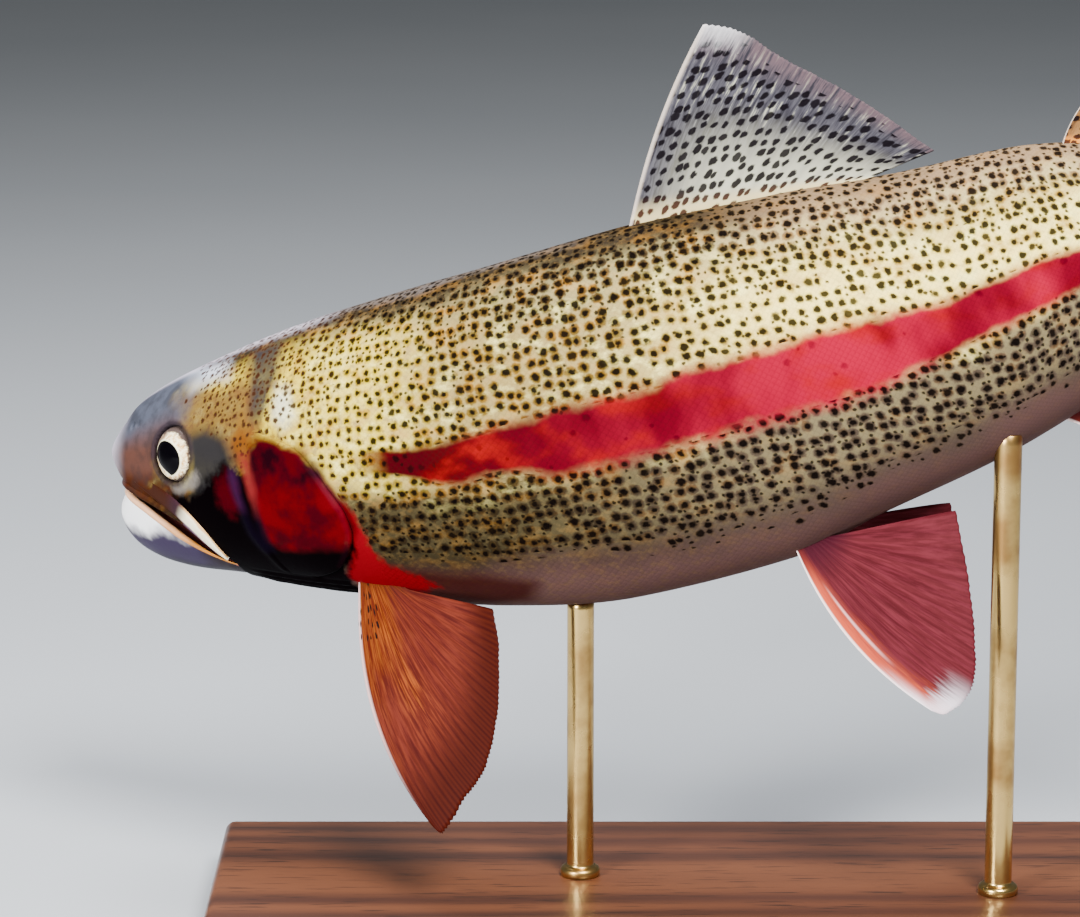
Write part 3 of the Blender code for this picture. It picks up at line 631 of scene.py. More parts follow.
def topOfHead(p, colour):
    # nape, crown and snout, with painted highlights on the nape, the crown and the snout's front
    colour = p.wash(colour, "napeTan", 3.0, 2.0, 0.85)
    colour = p.wash(colour, "gillLight", 2.5, 2.5, 0.55)
    line = p.plus(p.attribute("goldLine"), p.swing(p.broad, 1.5), 2.2)
    colour = p.mix(p.times(p.mapped(line, -1.4, 1.4), 0.45), colour, skinTones["goldLine"])
    colour = p.wash(colour, "napeGrey", 3.0, 2.5, 0.90)
    colour = p.wash(colour, "cheekGold", 2.4, 2.0, 0.75)
    crown = p.mix(p.mapped(p.ragged, 0.27, 0.41), skinTones["crown"], skinTones["snout"])
    crown = p.mix(p.mapped(p.ragged, 0.46, 0.53), crown, skinTones["mouthGold"])
    blotched = p.mapped(p.noise(p.place, 190, 3), 0.40, 0.66)
    crown = p.mix(p.times(blotched, 0.45), crown, skinTones["eyeShade"])
    colour = p.mix(p.zone("snoutGrey", 9.0, 6.0, p.cloudy), colour, crown)
    colour = p.wash(colour, "eyeShade", 3.2, 1.4, 0.99)
    # painted highlight: a lilac-white patch of light on the nape
    colour = p.wash(colour, "napeHighlight", 5.0, 3.0, 0.7)
    # painted rim light: lilac-white highlights on the snout's front end, strongest above, and along the top
    # of the head
    snoutHighlight = p.times(p.mapped(p.along, 0.040, -0.004), p.mapped(p.fromBack, 0.60, 0.42, 0.20, 0.85))
    crownHighlight = p.times(p.mapped(p.fromBack, 0.13, 0.06), p.mapped(p.along, 0.26, 0.20, 0, 0.5))
    return p.mix(p.larger(snoutHighlight, crownHighlight), colour, skinTones["rim"])


def redStripe(p, colour, fromMiddle):
    # the stripe along the flank: returns the colours with it, and its share
    lobes = p.noise(p.place, 95, 3, 0.6)
    stripe = p.times(p.mapped(p.plus(fromMiddle, p.swing(lobes, 0.12)), 1.36, 0.66),
                     p.mapped(p.along, 0.262, 0.300))
    hot = p.noise(p.stretched(p.spotMap, (0.14, 0.22, 1)), 1.7, 3)
    hot = p.times(p.mapped(hot, 0.44, 0.70), p.mapped(p.along, 0.27, 0.38, 0.35, 0.75))
    blotch = p.noise(p.stretched(p.spotMap, (0.20, 0.10, 1)), 1.0, 3)
    blotch = p.times(p.mapped(blotch, 0.42, 0.68), 0.7)
    red = p.mix(p.mapped(p.along, 0.30, 0.66), skinTones["stripeFront"], skinTones["stripeRear"])
    red = p.mix(hot, red, skinTones["stripeHot"])
    red = p.mix(blotch, red, skinTones["stripeDark"])
    return p.mix(stripe, colour, red), stripe


def bodySpots(p, colour, fromMiddle, stripe, shoulder):
    # spots, dim in the stripe, none on the belly and the snout, with a pale net between them
    along, fromBack = p.along, p.fromBack
    heart = p.times(p.mapped(fromMiddle, 0.98, 0.70), p.mapped(along, 0.285, 0.34))
    lowFront = p.times(p.mapped(fromBack, 0.66, 0.71), p.mapped(along, 0.47, 0.42))
    keep = p.minus(p.mapped(fromBack, 0.77, 0.69, 0, 0.96), lowFront, p.times(heart, 0.90),
                   p.times(shoulder, 0.9))
    keep = p.minus(p.times(keep, p.mapped(along, 0.100, 0.145)), p.zone("cheekBlackAndShade", 1, 0.5, p.fine),
                   p.zone("gillRed", 1, 0.5, p.fine), p.zone("eyeShade", 2, 1.0, p.fine))
    radius = p.mapped(along, 0.16, 0.44, 0.215, 0.270, False)
    spots, halo, between = spotLayer(p, p.spotMap, 1.0, radius, 0.105, 0.0, keep)
    small = p.plus(p.mapped(fromBack, 0.38, 0.22, 0.16, 0.72), p.mapped(fromBack, 0.50, 0.58, 0, 0.40))
    specks, speckHalo, _ = spotLayer(p, p.spotMap, 1.7, 0.22, 0.10, 7.3, p.times(keep, small))
    halo = p.larger(halo, p.times(speckHalo, 0.7))
    outside = p.times(p.minus(1.0, stripe), p.mapped(p.above, 0, 1, 0.55, 1.0, False))
    net = p.times(between, outside, p.mapped(fromBack, 0.74, 0.62), p.mapped(p.ragged, 0.08, 0.20),
                  p.mapped(along, 0.20, 0.26), p.minus(1.0, shoulder))
    netShare = p.plus(p.mapped(along, 0.36, 0.60, 0.05, 0.20, False),
                      p.times(p.above, p.mapped(along, 0.30, 0.40, 0.16, 0.12)))
    colour = p.mix(p.times(net, netShare), colour, skinTones["net"])
    colour = p.mix(p.times(halo, outside, 0.38), colour, skinTones["spotHalo"])
    dark = p.larger(spots, p.times(specks, 0.93))
    dark = p.times(dark, p.mapped(heart, 0.0, 1.0, 0.96, 0.40, False))
    spotTone = p.mix(p.mapped(along, 0.16, 0.30), skinTones["spotFront"], skinTones["spot"])
    return p.mix(dark, colour, spotTone)


def sidesOfHead(p, colour):
    # cheek, gill cover and the eye's surround
    # the black cheek; where it runs on over the head's underside the black is painted shade
    colour = p.mix(p.zone("cheekBlackAndShade", 1.8, 1.4, p.fine), colour, skinTones["cheekBlackAndShade"])
    colour = p.wash(colour, "cheekRed", 2.2, 1.2, 0.9, p.fine)
    dusky = p.plus(p.mapped(p.noise(p.place, 110, 3), 0.35, 0.70, 0, 0.7),
                   p.mapped(p.fromBack, 0.54, 0.44, 0, 0.5))
    gill = p.mix(dusky, skinTones["gill"], skinTones["gillDark"])
    colour = p.mix(p.zone("gillRed", 1.8, 1.1, p.cloudy), colour, gill)
    edgeTone = p.mix(p.mapped(p.fromBack, 0.50, 0.60), skinTones["gillEdge"], skinTones["cheekNavy"])
    colour = p.mix(p.times(p.zone("gillEdge", 1.8, 1.0, p.cloudy), 0.8), colour, edgeTone)
    band = p.plus(p.attribute("cheekLine"), p.mapped(p.broad, 0.3, 0.7, 0.8, 2.8, False))
    bandTone = p.mix(p.mapped(p.fromBack, 0.53, 0.58), skinTones["cheekBlue"], skinTones["cheekNavy"])
    colour = p.mix(p.times(p.mapped(band, -1.9, 1.9), 0.8), colour, bandTone)
    gillRim = p.mapped(p.plus(p.attribute("gillRim"), 0.7), -0.9, 0.7)
    gillRim = p.times(gillRim, p.mapped(p.fromBack, 0.57, 0.50, 0.06, 0.34))
    colour = p.mix(gillRim, colour, skinTones["gillRim"])
    colour = p.wash(colour, "palePatch", 1.4, 0.7, 0.85, p.fine)
    fromEye = p.attribute("fromEye")
    colour = p.mix(p.times(p.mapped(fromEye, 11.0, 9.4), 0.75), colour, skinTones["orbit"])
    # painted shade: inside the eye's socket the skin round the eye is painted black
    return p.mix(p.mapped(fromEye, 9.3, 8.1), colour, skinTones["cheekBlackAndShade"])


def skinPaint(name, scaly):
    p = SkinPaint(name)
    colour = topOfHead(p, groundColours(p))
    fromMiddle = p.math("ABSOLUTE", p.attribute("stripe"))
    colour, stripe = redStripe(p, colour, fromMiddle)
    # painted shade on the lower shoulder, round and behind the pectoral fin's root
    colour = p.wash(colour, "shoulderShade", 3.2, 2.0, 0.85)
    shoulder = p.zone("shoulderRed", 1.6, 1.4, p.fine)
    colour = p.mix(shoulder, colour, skinTones["shoulderRed"])
    colour = sidesOfHead(p, bodySpots(p, colour, fromMiddle, stripe, shoulder))
    if scaly:
        edge = p.times(p.mapped(p.attribute("rim"), 0.6, 1.0), 0.14)
        colour = p.mix(edge, colour, skinTones["low"])
        p.bump(p.noise(p.place, 900, 2), 0.12, 0.0001)
    else:
        p.bump(p.noise(p.place, 520, 4, 0.6), 0.35, 0.0002)
    p.colour(colour)
    return p.material


skinMaterial = skinPaint("troutSkin", False)
scaleMaterial = skinPaint("troutScales", True)
print("skin paints made")

# the skin: head, trunk and tail root in one piece

skinForm = {
    "lip": {-0.03: -2.2, 0.02: -3.2, 0.06: -6.5, 0.10: -12, 0.128: -18.5, 0.142: -24.5},
    "mouthStart": 0.018,
    "mouthEnd": 0.142,
    "mouthCorner": 141.0,              # degrees round the section
    "evenFrom": 0.32,                  # from here on the columns are spread evenly
    "columns": 84,                     # from the middle of the back to the middle of the belly
    "lipColumn": 52,
    "noseRows": 14,
    "mouthRows": [0.018, 0.0186, 0.0194],
    "headRows": (0.0205, 0.30, 0.0018),
    "trunkRows": (0.30, 1.0, 0.0042),
    "palateArch": 5.0 * mm,
    "coatDepth": 0.28 * mm,
    "noseMiddle": 6.0 * mm,            # the snout's foremost part, above the backbone line
    "noseLow": 3.0 * mm,               # how far the snout's tip leans back below that
    "noseHigh": 1.8 * mm,              # and above it
    "noseMost": 3.2 * mm,
    "noseFade": 0.03,
    "orbitRadius": 9.1 * mm,
    "orbitRim": 0.45 * mm,
    "orbitDepth": 4.6 * mm,
    "nostrils": [(0.043, 50, 1.1 * mm), (0.052, 51, 0.9 * mm)],
    "nostrilDepth": 1.1 * mm,
    "cheekRidge": 0.5 * mm,
    "gillGroove": 1.2 * mm,
    "throatFolds": 0.45 * mm,
}


def ringOf(distance, width):
    # 1 on a line, and down to nothing some two widths away from it
    return np.exp(-(distance / width)**2)


def headRelief(t, phi, points):
    # what the skin stands proud of, or lies below, the plain loft, in metres
    lift = -skinForm["coatDepth"] * smoothStep(-2 * mm, 2 * mm, fieldOf(t, phi, coatEdge))
    for s in (1, -1):
        rim = skinForm["orbitRadius"]
        away = offAxis(points, *eyeAxis(s))
        lift += skinForm["orbitRim"] * ringOf(away - rim, 0.9 * mm)
        lift -= skinForm["orbitDepth"] * smoothStep(rim - 0.2 * mm, rim - 1.6 * mm, away)
        for nostrilT, nostrilPhi, radius in skinForm["nostrils"]:
            pit = np.linalg.norm(points - skinPoint(nostrilT, s * nostrilPhi), axis=1)
            lift += 0.25 * mm * ringOf(pit - radius * 1.25, 0.5 * mm)
            lift -= skinForm["nostrilDepth"] * smoothStep(radius * 1.15, radius * 0.5, pit)
    lift += skinForm["cheekRidge"] * ringOf(fieldOf(t, phi, cheekRidge, closed=False), 1.5 * mm)
    gillEnd = [(gillRear[k], k) for k in sorted(gillRear)]
    lift -= skinForm["gillGroove"] * ringOf(fieldOf(t, phi, gillEnd, closed=False), 1.3 * mm)
    throat = smoothStep(140, 150, phi) * smoothStep(0.148, 0.17, t) * smoothStep(0.262, 0.235, t)
    return lift + skinForm["throatFolds"] * throat * np.sin(phi * 0.9)


def noseSetBack(t, points):
    # the snout is rounder than the loft: its tip leans back above and below the middle
    line, along, _, above = spineAt(noseMoved(np.asarray(t, float)))
    up = (((points - line) * above).sum(-1) - skinForm["noseMiddle"]) / skinForm["noseMiddle"]
    share = skinForm["noseLow"] * np.clip(-up, 0, 2)**1.3 + skinForm["noseHigh"] * np.clip(up, 0, 2)**1.3
    share = np.minimum(share, skinForm["noseMost"]) * ringOf(np.asarray(t), skinForm["noseFade"])
    return share[..., None] * along


def edgePhi(t):
    # where the lip's edge lies round the section; behind the mouth it eases to an even spread
    up = smoothTable(skinForm["lip"], t) * mm
    reach = np.clip(-up / (smoothTable(snoutBelly, t, True) * mm), 0, 1)
    power = smoothTable(body["fullness"], t) / 2
    lipPhi = np.where(t < skinForm["mouthStart"], 180, 90 + np.degrees(np.arcsin(reach**power)))
    even = 180 * skinForm["lipColumn"] / skinForm["columns"]
    eased = smoothStep(skinForm["evenFrom"], skinForm["mouthEnd"], t)
    return np.where(t < skinForm["mouthEnd"], lipPhi, even + (skinForm["mouthCorner"] - even) * eased)


def makeSkin():
    nose = skinForm["mouthStart"] * (np.arange(skinForm["noseRows"]) / skinForm["noseRows"])**1.7
    rows = np.concatenate([nose, skinForm["mouthRows"], np.arange(*skinForm["headRows"]),
                           np.arange(*skinForm["trunkRows"]), [1.0]])
    count, lipColumn = skinForm["columns"], skinForm["lipColumn"]
    c = np.arange(count + 1)
    edge = edgePhi(rows)[:, None]
    phi = np.where(c <= lipColumn, edge * c / lipColumn,
                   edge + (180 - edge) * (c - lipColumn) / (count - lipColumn))
    t = np.repeat(rows[:, None], count + 1, 1)
    halves = []
    for side in (1, -1):
        points = skinPoint(t, side * phi, snoutBelly)
        normals = skinNormal(t, side * phi, snoutBelly)
        lift = headRelief(t.ravel(), phi.ravel(), points.reshape(-1, 3)).reshape(t.shape)
        points = points + normals * lift[..., None] + noseSetBack(t, points)
        # inside the mouth the columns past the lip cross to the middle as the palate
        for j in np.flatnonzero((rows >= skinForm["mouthStart"]) & (rows < skinForm["mouthEnd"])):
            lipPoint = points[j, lipColumn]
            line, _, left, above = spineAt(noseMoved(rows[j]))
            out, up = (lipPoint - line) @ left, (lipPoint - line) @ above
            share = (c[lipColumn:] - lipColumn) / (count - lipColumn)
            arch = skinForm["palateArch"] * smoothStep(0.02, 0.06, rows[j])
            points[j, lipColumn:] = bodyPoint(noseMoved(np.full(len(share), rows[j])), out * (1 - share),
                                              up + arch * np.sin(share * math.pi / 2)**0.6)
        halves.append(points)
    rings = np.concatenate([halves[0], halves[1][:, -2:0:-1]], 1)
    front = rings[0].mean(0) - spineAt(0.0)[1] * 0.6 * mm
    return closedTube("troutSkin", rings, front, rings[-1].mean(0))


skin = makeSkin()
markPlaces(skin)
skin.data.materials.append(skinMaterial)
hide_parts("head", "trunk_front", "trunk_rear", "tail_peduncle")
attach(skin, "root")
print("skin:", len(skin.data.polygons), "faces")

# gill covers and upper jaw bones: plates lying on the skin

plateForm = {
    "gillProud": 1.0 * mm,
    "gillInner": 1.6 * mm,
    "gillSeam": [(0.183, 122), (0.205, 118), (0.256, 100)],
    "boneProud": 1.1 * mm,
    "boneInner": 1.2 * mm,
    # t, phi along the bone's middle, half its width in mm
    "bone": [(0.050, 90, 1.0), (0.075, 96.5, 2.0), (0.100, 106, 2.9), (0.122, 120, 3.1), (0.138, 137, 2.0)],
}


sides = ((1, "Left"), (-1, "Right"))


def makePlate(name, t, phi, side, outer, inner, node, paint):
    points, normals = skinPoint(t, side * phi), skinNormal(t, side * phi)
    top = points + normals * outer[..., None]
    under = points - normals * inner
    verts = np.concatenate([top.reshape(-1, 3), under.reshape(-1, 3)])
    plate = newObject(name, verts, slabFaces(*t.shape))
    markPlaces(plate)
    plate.data.materials.append(paint)
    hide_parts(node)
    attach(plate, "root")
    return plate


def makeGillCover(side, word):
    v, u = np.meshgrid(np.linspace(0, 1, 73), np.linspace(0, 1, 61), indexing="ij")
    phi = gillTop + (gillBottom - gillTop) * v
    front, rear = smoothTable(gillFront, phi), smoothTable(gillRear, phi)
    t = front + (rear - front) * u
    height = plateForm["gillProud"] * smoothStep(-0.15, 0.75, u) * (1 - np.abs(2 * v - 1)**6 * 0.9)
    rearEdge = smoothStep(1.0, 0.95, u)
    height = height * (0.55 + 0.45 * rearEdge) - 0.25 * mm * smoothStep(0.06, 0, u)
    seam = fieldOf(t.ravel(), phi.ravel(), plateForm["gillSeam"], False)
    height = height - (0.35 * mm * ringOf(seam, 0.7 * mm)).reshape(t.shape)
    makePlate("gillCover" + word, t, phi, side, height, plateForm["gillInner"],
              "gill_cover_" + word.lower(), skinMaterial)


for side, word in sides:
    makeGillCover(side, word)


def jawPaint():
    p = Paint("jawWhite", 0.40, {"Specular IOR Level": 0.04})
    place = p.objectPlace()
    cloudy = p.noise(place, 90, 3)
    white = p.mix(p.mapped(cloudy, 0.50, 0.80), tone(255, 255, 255), tone(238, 234, 240))
    lip = p.attribute("lip")
    low = p.plus(p.attribute("round"), p.swing(cloudy, 0.03))
    rear = p.plus(p.attribute("along"), p.swing(cloudy, 0.006))
    # painted shade: the jaw's white darkens to violet and near black towards its underside and at its rear,
    # where it runs in under the cheek
    shade = p.plus(low, p.times(rear, 1.1))
    colour = p.mix(p.mapped(shade, 0.725, 0.82), white, tone(46, 37, 60))
    colour = p.mix(p.mapped(low, 0.82, 0.93), colour, tone(24, 18, 29))
    colour = p.mix(p.mapped(rear, 0.100, 0.122), colour, tone(26, 14, 22))
    lipGold = p.times(p.mapped(lip, 1.6, 0.8), p.mapped(rear, 0.0, 0.05, 0.55, 0.85))
    colour = p.mix(lipGold, colour, tone(198, 128, 50))
    colour = p.mix(p.attribute("inside"), colour, tone(120, 62, 58))
    p.colour(colour)
    p.bump(p.noise(place, 600, 3), 0.25, 0.00015)
    return p.material


def bonePaint():
    p = Paint("jawBoneWhite", 0.40, {"Specular IOR Level": 0.04})
    place = p.objectPlace()
    cloudy = p.noise(place, 140, 3)
    white = p.mix(p.mapped(cloudy, 0.5, 0.8), tone(240, 228, 196), tone(206, 190, 168))
    across, along = p.attribute("across"), p.attribute("boneAlong")
    ragged = p.plus(across, p.swing(cloudy, 0.08))
    colour = p.mix(p.mapped(ragged, 0.62, 0.78), white, tone(84, 60, 84))
    colour = p.mix(p.times(p.mapped(ragged, 0.14, 0.02), 0.8), colour, tone(196, 136, 60))
    front = p.mapped(p.plus(along, p.times(ragged, 0.10)), 0.74, 0.60)
    colour = p.mix(front, colour, tone(44, 25, 32))
    colour = p.mix(p.mapped(along, 0.58, 0.40), colour, tone(48, 21, 10))
    p.colour(colour)
    p.bump(p.noise(place, 700, 3), 0.2, 0.0001)
    return p.material


boneMaterial = bonePaint()


def makeJawBone(side, word):
    v, u = np.meshgrid(np.linspace(0, 1, 17), np.linspace(0, 1, 49), indexing="ij")
    rows = plateForm["bone"]
    t = rows[0][0] + (rows[-1][0] - rows[0][0]) * u
    middle = smoothTable({r[0]: r[1] for r in rows}, t)
    half = smoothTable({r[0]: r[2] for r in rows}, t) * mm
    half = half * np.sqrt(np.clip(1 - np.clip((u - 0.9) / 0.1, 0, 1)**2, 0.05, 1))
    girth = smoothTable(body["belly"], t, True) * 0.85 * mm
    phi = middle + np.degrees(half / girth) * (2 * v - 1)
    crown = np.sqrt(np.clip(1 - (2 * v - 1)**2, 0, 1))
    outer = plateForm["boneProud"] * (smoothStep(0.15, 0.75, u) - 0.12) * (0.25 + 0.75 * crown)
    bone = makePlate("jawBone" + word, t, phi, side, outer, plateForm["boneInner"],
                     "maxilla_" + word.lower(), boneMaterial)
    for label, values in (("across", v), ("boneAlong", u)):
        setFloat(bone.data, label, np.concatenate([values.ravel(), values.ravel()]))


for side, word in sides:
    makeJawBone(side, word)
print("gill covers and jaw bones made")

# the lower jaw

jawForm = {
    "lip": {-0.03: -5.8, 0.006: -5.4, 0.02: -4.7, 0.05: -7.4, 0.075: -11.8, 0.10: -17.4, 0.125: -22.8,
            0.1405: -26, 0.160: -30},
    "back": 0.7 * mm,                  # it stops this far short of the snout
    "lipBack": 5.2 * mm,               # how far behind the chin the front of the lip lies
    "lipBackOver": 0.030,              # over which share of the length that fades out
    "lipBackFrom": 17 * mm,            # below the backbone line, where the chin starts to lean back
    "lipBackHeight": 11 * mm,
    "belly": {0: 14.5, 0.004: 18.0, 0.012: 21.5, 0.03: 25.6, 0.06: 28.8, 0.09: 30.1, 0.126: 30.6, 0.19: 34},
    "end": 0.150,
    "outerColumns": 40,
    "innerColumns": 26,
    "chin": 0.02,                      # rows are closer together in front of this share of the length
    "chinRows": 16,
    "rowStep": 0.0022,
    "sunk": 0.7 * mm,                  # how far its rear end dips under the cheek
    "bowl": 3.5 * mm,                  # depth of its inside
    "ridge": 2.4 * mm,                 # height of the inside's middle, under the tongue
}


def lipSetBack(t, points):
    # near the chin the jaw's upper part leans back
    line, along, _, above = spineAt(noseMoved(np.asarray(t, float)))
    depth = -((points - line) * above).sum(-1)
    high = np.clip((jawForm["lipBackFrom"] - depth) / jawForm["lipBackHeight"], 0, 1.1)
    share = jawForm["lipBack"] * ringOf(np.asarray(t), jawForm["lipBackOver"]) * high**2.2
    return share[..., None] * along


def makeJaw():
    chin, chinRows = jawForm["chin"], jawForm["chinRows"]
    rows = np.concatenate([chin * (np.arange(chinRows) / chinRows)**1.7,
                           np.arange(chin, jawForm["end"], jawForm["rowStep"])])
    outerCount, innerCount = jawForm["outerColumns"], jawForm["innerColumns"]
    share = np.linspace(0, 1, innerCount + 1)[1:-1]
    rings, inside, lipFar = [], [], []
    for t in rows:
        belly = float(smoothTable(jawForm["belly"], t, True)) * mm
        up = float(smoothTable(jawForm["lip"], t + jawForm["back"] / body["length"])) * mm
        power = float(smoothTable(body["fullness"], t)) / 2
        start = 90 + math.degrees(math.asin(min(0.97, -up / belly)**power))
        phi = np.linspace(start, 180, outerCount + 1)
        sunk = jawForm["sunk"] * smoothStep(0.128, 0.146, t)
        ts = np.full(len(phi), t)
        outer, other = [skinPoint(t, side * phi, jawForm["belly"])
                        - skinNormal(ts, side * phi, jawForm["belly"]) * sunk for side in (1, -1)]
        bowl = jawForm["bowl"] * np.sin(share * math.pi)**0.6 * smoothStep(0.0, 0.03, t)
        ridge = jawForm["ridge"] * ringOf(share - 0.5, 0.14) * smoothStep(0.02, 0.05, t)
        above = spineAt(noseMoved(t))[3]
        floor = other[0] + (outer[0] - other[0]) * share[:, None] - above * (bowl - ridge)[:, None]
        ring = np.concatenate([outer, other[-2::-1], floor])
        rings.append(ring + lipSetBack(t, ring))
        inside.append([0] * (2 * outerCount + 1) + [1] * len(share))
        far = np.linalg.norm(outer - outer[0], axis=1) / mm
        lipFar.append(np.concatenate([far, far[-2::-1], np.zeros(len(share))]))
    rings = np.array(rings) + spineAt(0.0)[1] * jawForm["back"]
    front = rings[0].mean(0) - spineAt(0.0)[1] * 0.5 * mm
    jaw = closedTube("lowerJaw", rings, front, rings[-1].mean(0))
    markPlaces(jaw)
    for label, values in (("inside", inside), ("lip", lipFar)):
        # the last two values are for the tube's end points
        setFloat(jaw.data, label, np.append(np.ravel(values), [0.0, 1.0])[:len(jaw.data.vertices)])
    return jaw


jaw = makeJaw()
jawMaterial = jawPaint()
jaw.data.materials.append(jawMaterial)
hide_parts("jaw_lower")
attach(jaw, "root")


tongueForm = {
    "start": 0.038,
    "end": 0.148,
    "half": {0.038: 3.0, 0.06: 5.0, 0.09: 6.5, 0.12: 7.5, 0.148: 8.0},
    "sunk": 3.0,                       # how far its underside lies below the jaw's lip, mm
    "tip": 3.8,                        # thickness near the tip, mm
    "arch": 3.4,                       # how far its rear part rises above the upper lip, mm
    "rise": (0.048, 0.082),            # where it comes up from the jaw to the palate
    "round": 0.012,                    # share of the body's length over which the tip is rounded
}


def makeTongue():
    # tongue and throat fill the mouth, so that no light falls through it
    ts = np.linspace(tongueForm["start"], tongueForm["end"], 40)
    low = smoothTable(jawForm["lip"], ts) - tongueForm["sunk"]
    rise = smoothStep(*tongueForm["rise"], ts)
    palate = smoothTable(skinForm["lip"], ts) + tongueForm["arch"]
    top = (low + tongueForm["tip"]) * (1 - rise) + palate * rise
    tip = np.clip((ts - tongueForm["start"]) / tongueForm["round"] + 0.05, 0, 1)
    taper = np.sqrt(1 - (1 - tip)**2)
    half = smoothTable(tongueForm["half"], ts) * taper
    angles = np.linspace(0, 2 * math.pi, 33)[:-1]
    rings = []
    for t, middle, high, wide in zip(ts, (low + top) / 2, (top - low) / 2 * taper, half):
        rings.append(bodyPoint(noseMoved(np.full(len(angles), t)), wide * mm * np.sin(angles),
                               (middle + high * np.cos(angles)) * mm))
    tongue = closedTube("tongue", np.array(rings), rings[0].mean(0), rings[-1].mean(0))
    markPlaces(tongue)
    setFloat(tongue.data, "inside", np.ones(len(tongue.data.vertices)))
    tongue.data.materials.append(jawMaterial)
    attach(tongue, "root")


makeTongue()


def lipPoints(lip, belly, back, inset):
    # the lip's line from one corner of the mouth round the snout to the other
    half = []
    ts = np.concatenate([np.linspace(0.128, 0.03, 34), np.linspace(0.028, 0.001, 28)])
    for t in ts:
        up = float(smoothTable(lip, t + back / body["length"])) + inset
        reach = abs(up) / float(smoothTable(belly, t, True))
        power = float(smoothTable(body["fullness"], t)) / 2
        half.append((t, 90 + math.degrees(math.asin(min(1, reach)**power))))
        if reach >= 1:
            break
    t, phi = np.array(half).T
    left, right = skinPoint(t, phi, belly), skinPoint(t, -phi, belly)
    setBack = lipSetBack if back else noseSetBack
    return np.concatenate([left + setBack(t, left), (right + setBack(t, right))[::-1]])


def makeLip(name, points, radius, shift, paint):
    # a soft round edge that thins out at both corners of the mouth
    for _ in range(3):
        points[1:-1] = (points[:-2] + 2 * points[1:-1] + points[2:]) / 4
    points = points + shift
    tangent = np.gradient(points, axis=0)
    tangent /= np.linalg.norm(tangent, axis=1)[:, None]
    above = spineAt(0.05)[3]
    across = np.cross(tangent, above)
    across /= np.linalg.norm(across, axis=1)[:, None]
    upward = np.cross(across, tangent)
    share = np.linspace(0, 1, len(points))
    taper = np.clip(np.sin(share * math.pi) * 3.2, 0.05, 1)**0.7 * radius
    angles = np.linspace(0, 2 * math.pi, 15)[:-1]
    rings = (points[:, None] + across[:, None] * (np.cos(angles)[None, :, None] * taper[:, None, None])
             + upward[:, None] * (np.sin(angles)[None, :, None] * taper[:, None, None]))
    lip = closedTube(name, rings, rings[0].mean(0), rings[-1].mean(0))
    markPlaces(lip)
    setFloat(lip.data, "inside", np.zeros(len(lip.data.vertices)))
    setFloat(lip.data, "lip", np.full(len(lip.data.vertices), 0.8))
    lip.data.materials.append(paint)
    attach(lip, "root")


makeLip("upperLip", lipPoints(skinForm["lip"], snoutBelly, 0, 0.7), 1.15 * mm, 0, skinMaterial)
makeLip("lowerLip", lipPoints(jawForm["lip"], jawForm["belly"], jawForm["back"], -0.7), 1.1 * mm,
        spineAt(0.0)[1] * jawForm["back"], jawMaterial)
print("lower jaw and lips made")

# eyes

eyeForm = {
    "radius": 8.6 * mm,
    "depth": 6.4 * mm,
    "proud": 2.3 * mm,
    "pupil": 4.4 * mm,
    "pupilMiddle": (-0.9, -1.3),       # rearward and up of the eye's middle, mm
    "squeeze": (0.73, 0.84),           # the pupil is longer than it is high
    "cut": 1.9,                        # how far inside its oval the pupil's lower front side lies, mm
    "dusk": (3.6, 5.4),                # where its upper front side darkens, mm from the middle (painted shade)
    "darkEdge": (7.0, 7.9),            # and its whole edge
    "furrow": 0.35 * mm,               # depth of the ring round the pupil
    "bulge": 0.25 * mm,                # what the pupil stands proud
    "rings": 40,
    "around": 72,
}


def eyePaint():
    p = Paint("eyeGold", 0.12, {"Specular IOR Level": 0.05})
    plane = p.attribute("eyePlane", "Vector")
    rearward, up, _ = p.fedNode("SeparateXYZ", [plane]).outputs
    # an oval whose lower front side is cut off straight by the bright ring
    rearPart, upPart = [p.times(p.minus(value, middle), squeeze) for value, middle, squeeze
                        in zip((rearward, up), eyeForm["pupilMiddle"], eyeForm["squeeze"])]
    cutSide = p.minus(p.times(rearPart, -0.68), p.times(upPart, 0.73))
    far = p.larger(p.hypot(rearPart, upPart), p.plus(cutSide, eyeForm["cut"]))
    away = p.hypot(rearward, p.times(p.plus(up, 0.5), 1.05))
    grain = p.noise(plane, 0.9, 4, 0.6)
    gold = p.mix(p.mapped(grain, 0.35, 0.7), tone(255, 240, 198), tone(204, 150, 78))
    # painted shade over the iris's upper front side
    dusk = p.mapped(p.minus(p.times(up, 0.6), p.times(rearward, 0.8)), *eyeForm["dusk"])
    gold = p.mix(p.times(dusk, 0.8), gold, tone(84, 58, 56))
    gold = p.mix(p.mapped(p.plus(away, p.swing(grain, 0.4)), *eyeForm["darkEdge"]), gold, tone(70, 58, 54))
    ring = p.mix(p.mapped(far, 5.0, 4.55), gold, tone(255, 246, 204))
    p.colour(p.mix(p.mapped(far, 4.62, 4.36), ring, tone(3, 2, 4)))
    return p.material


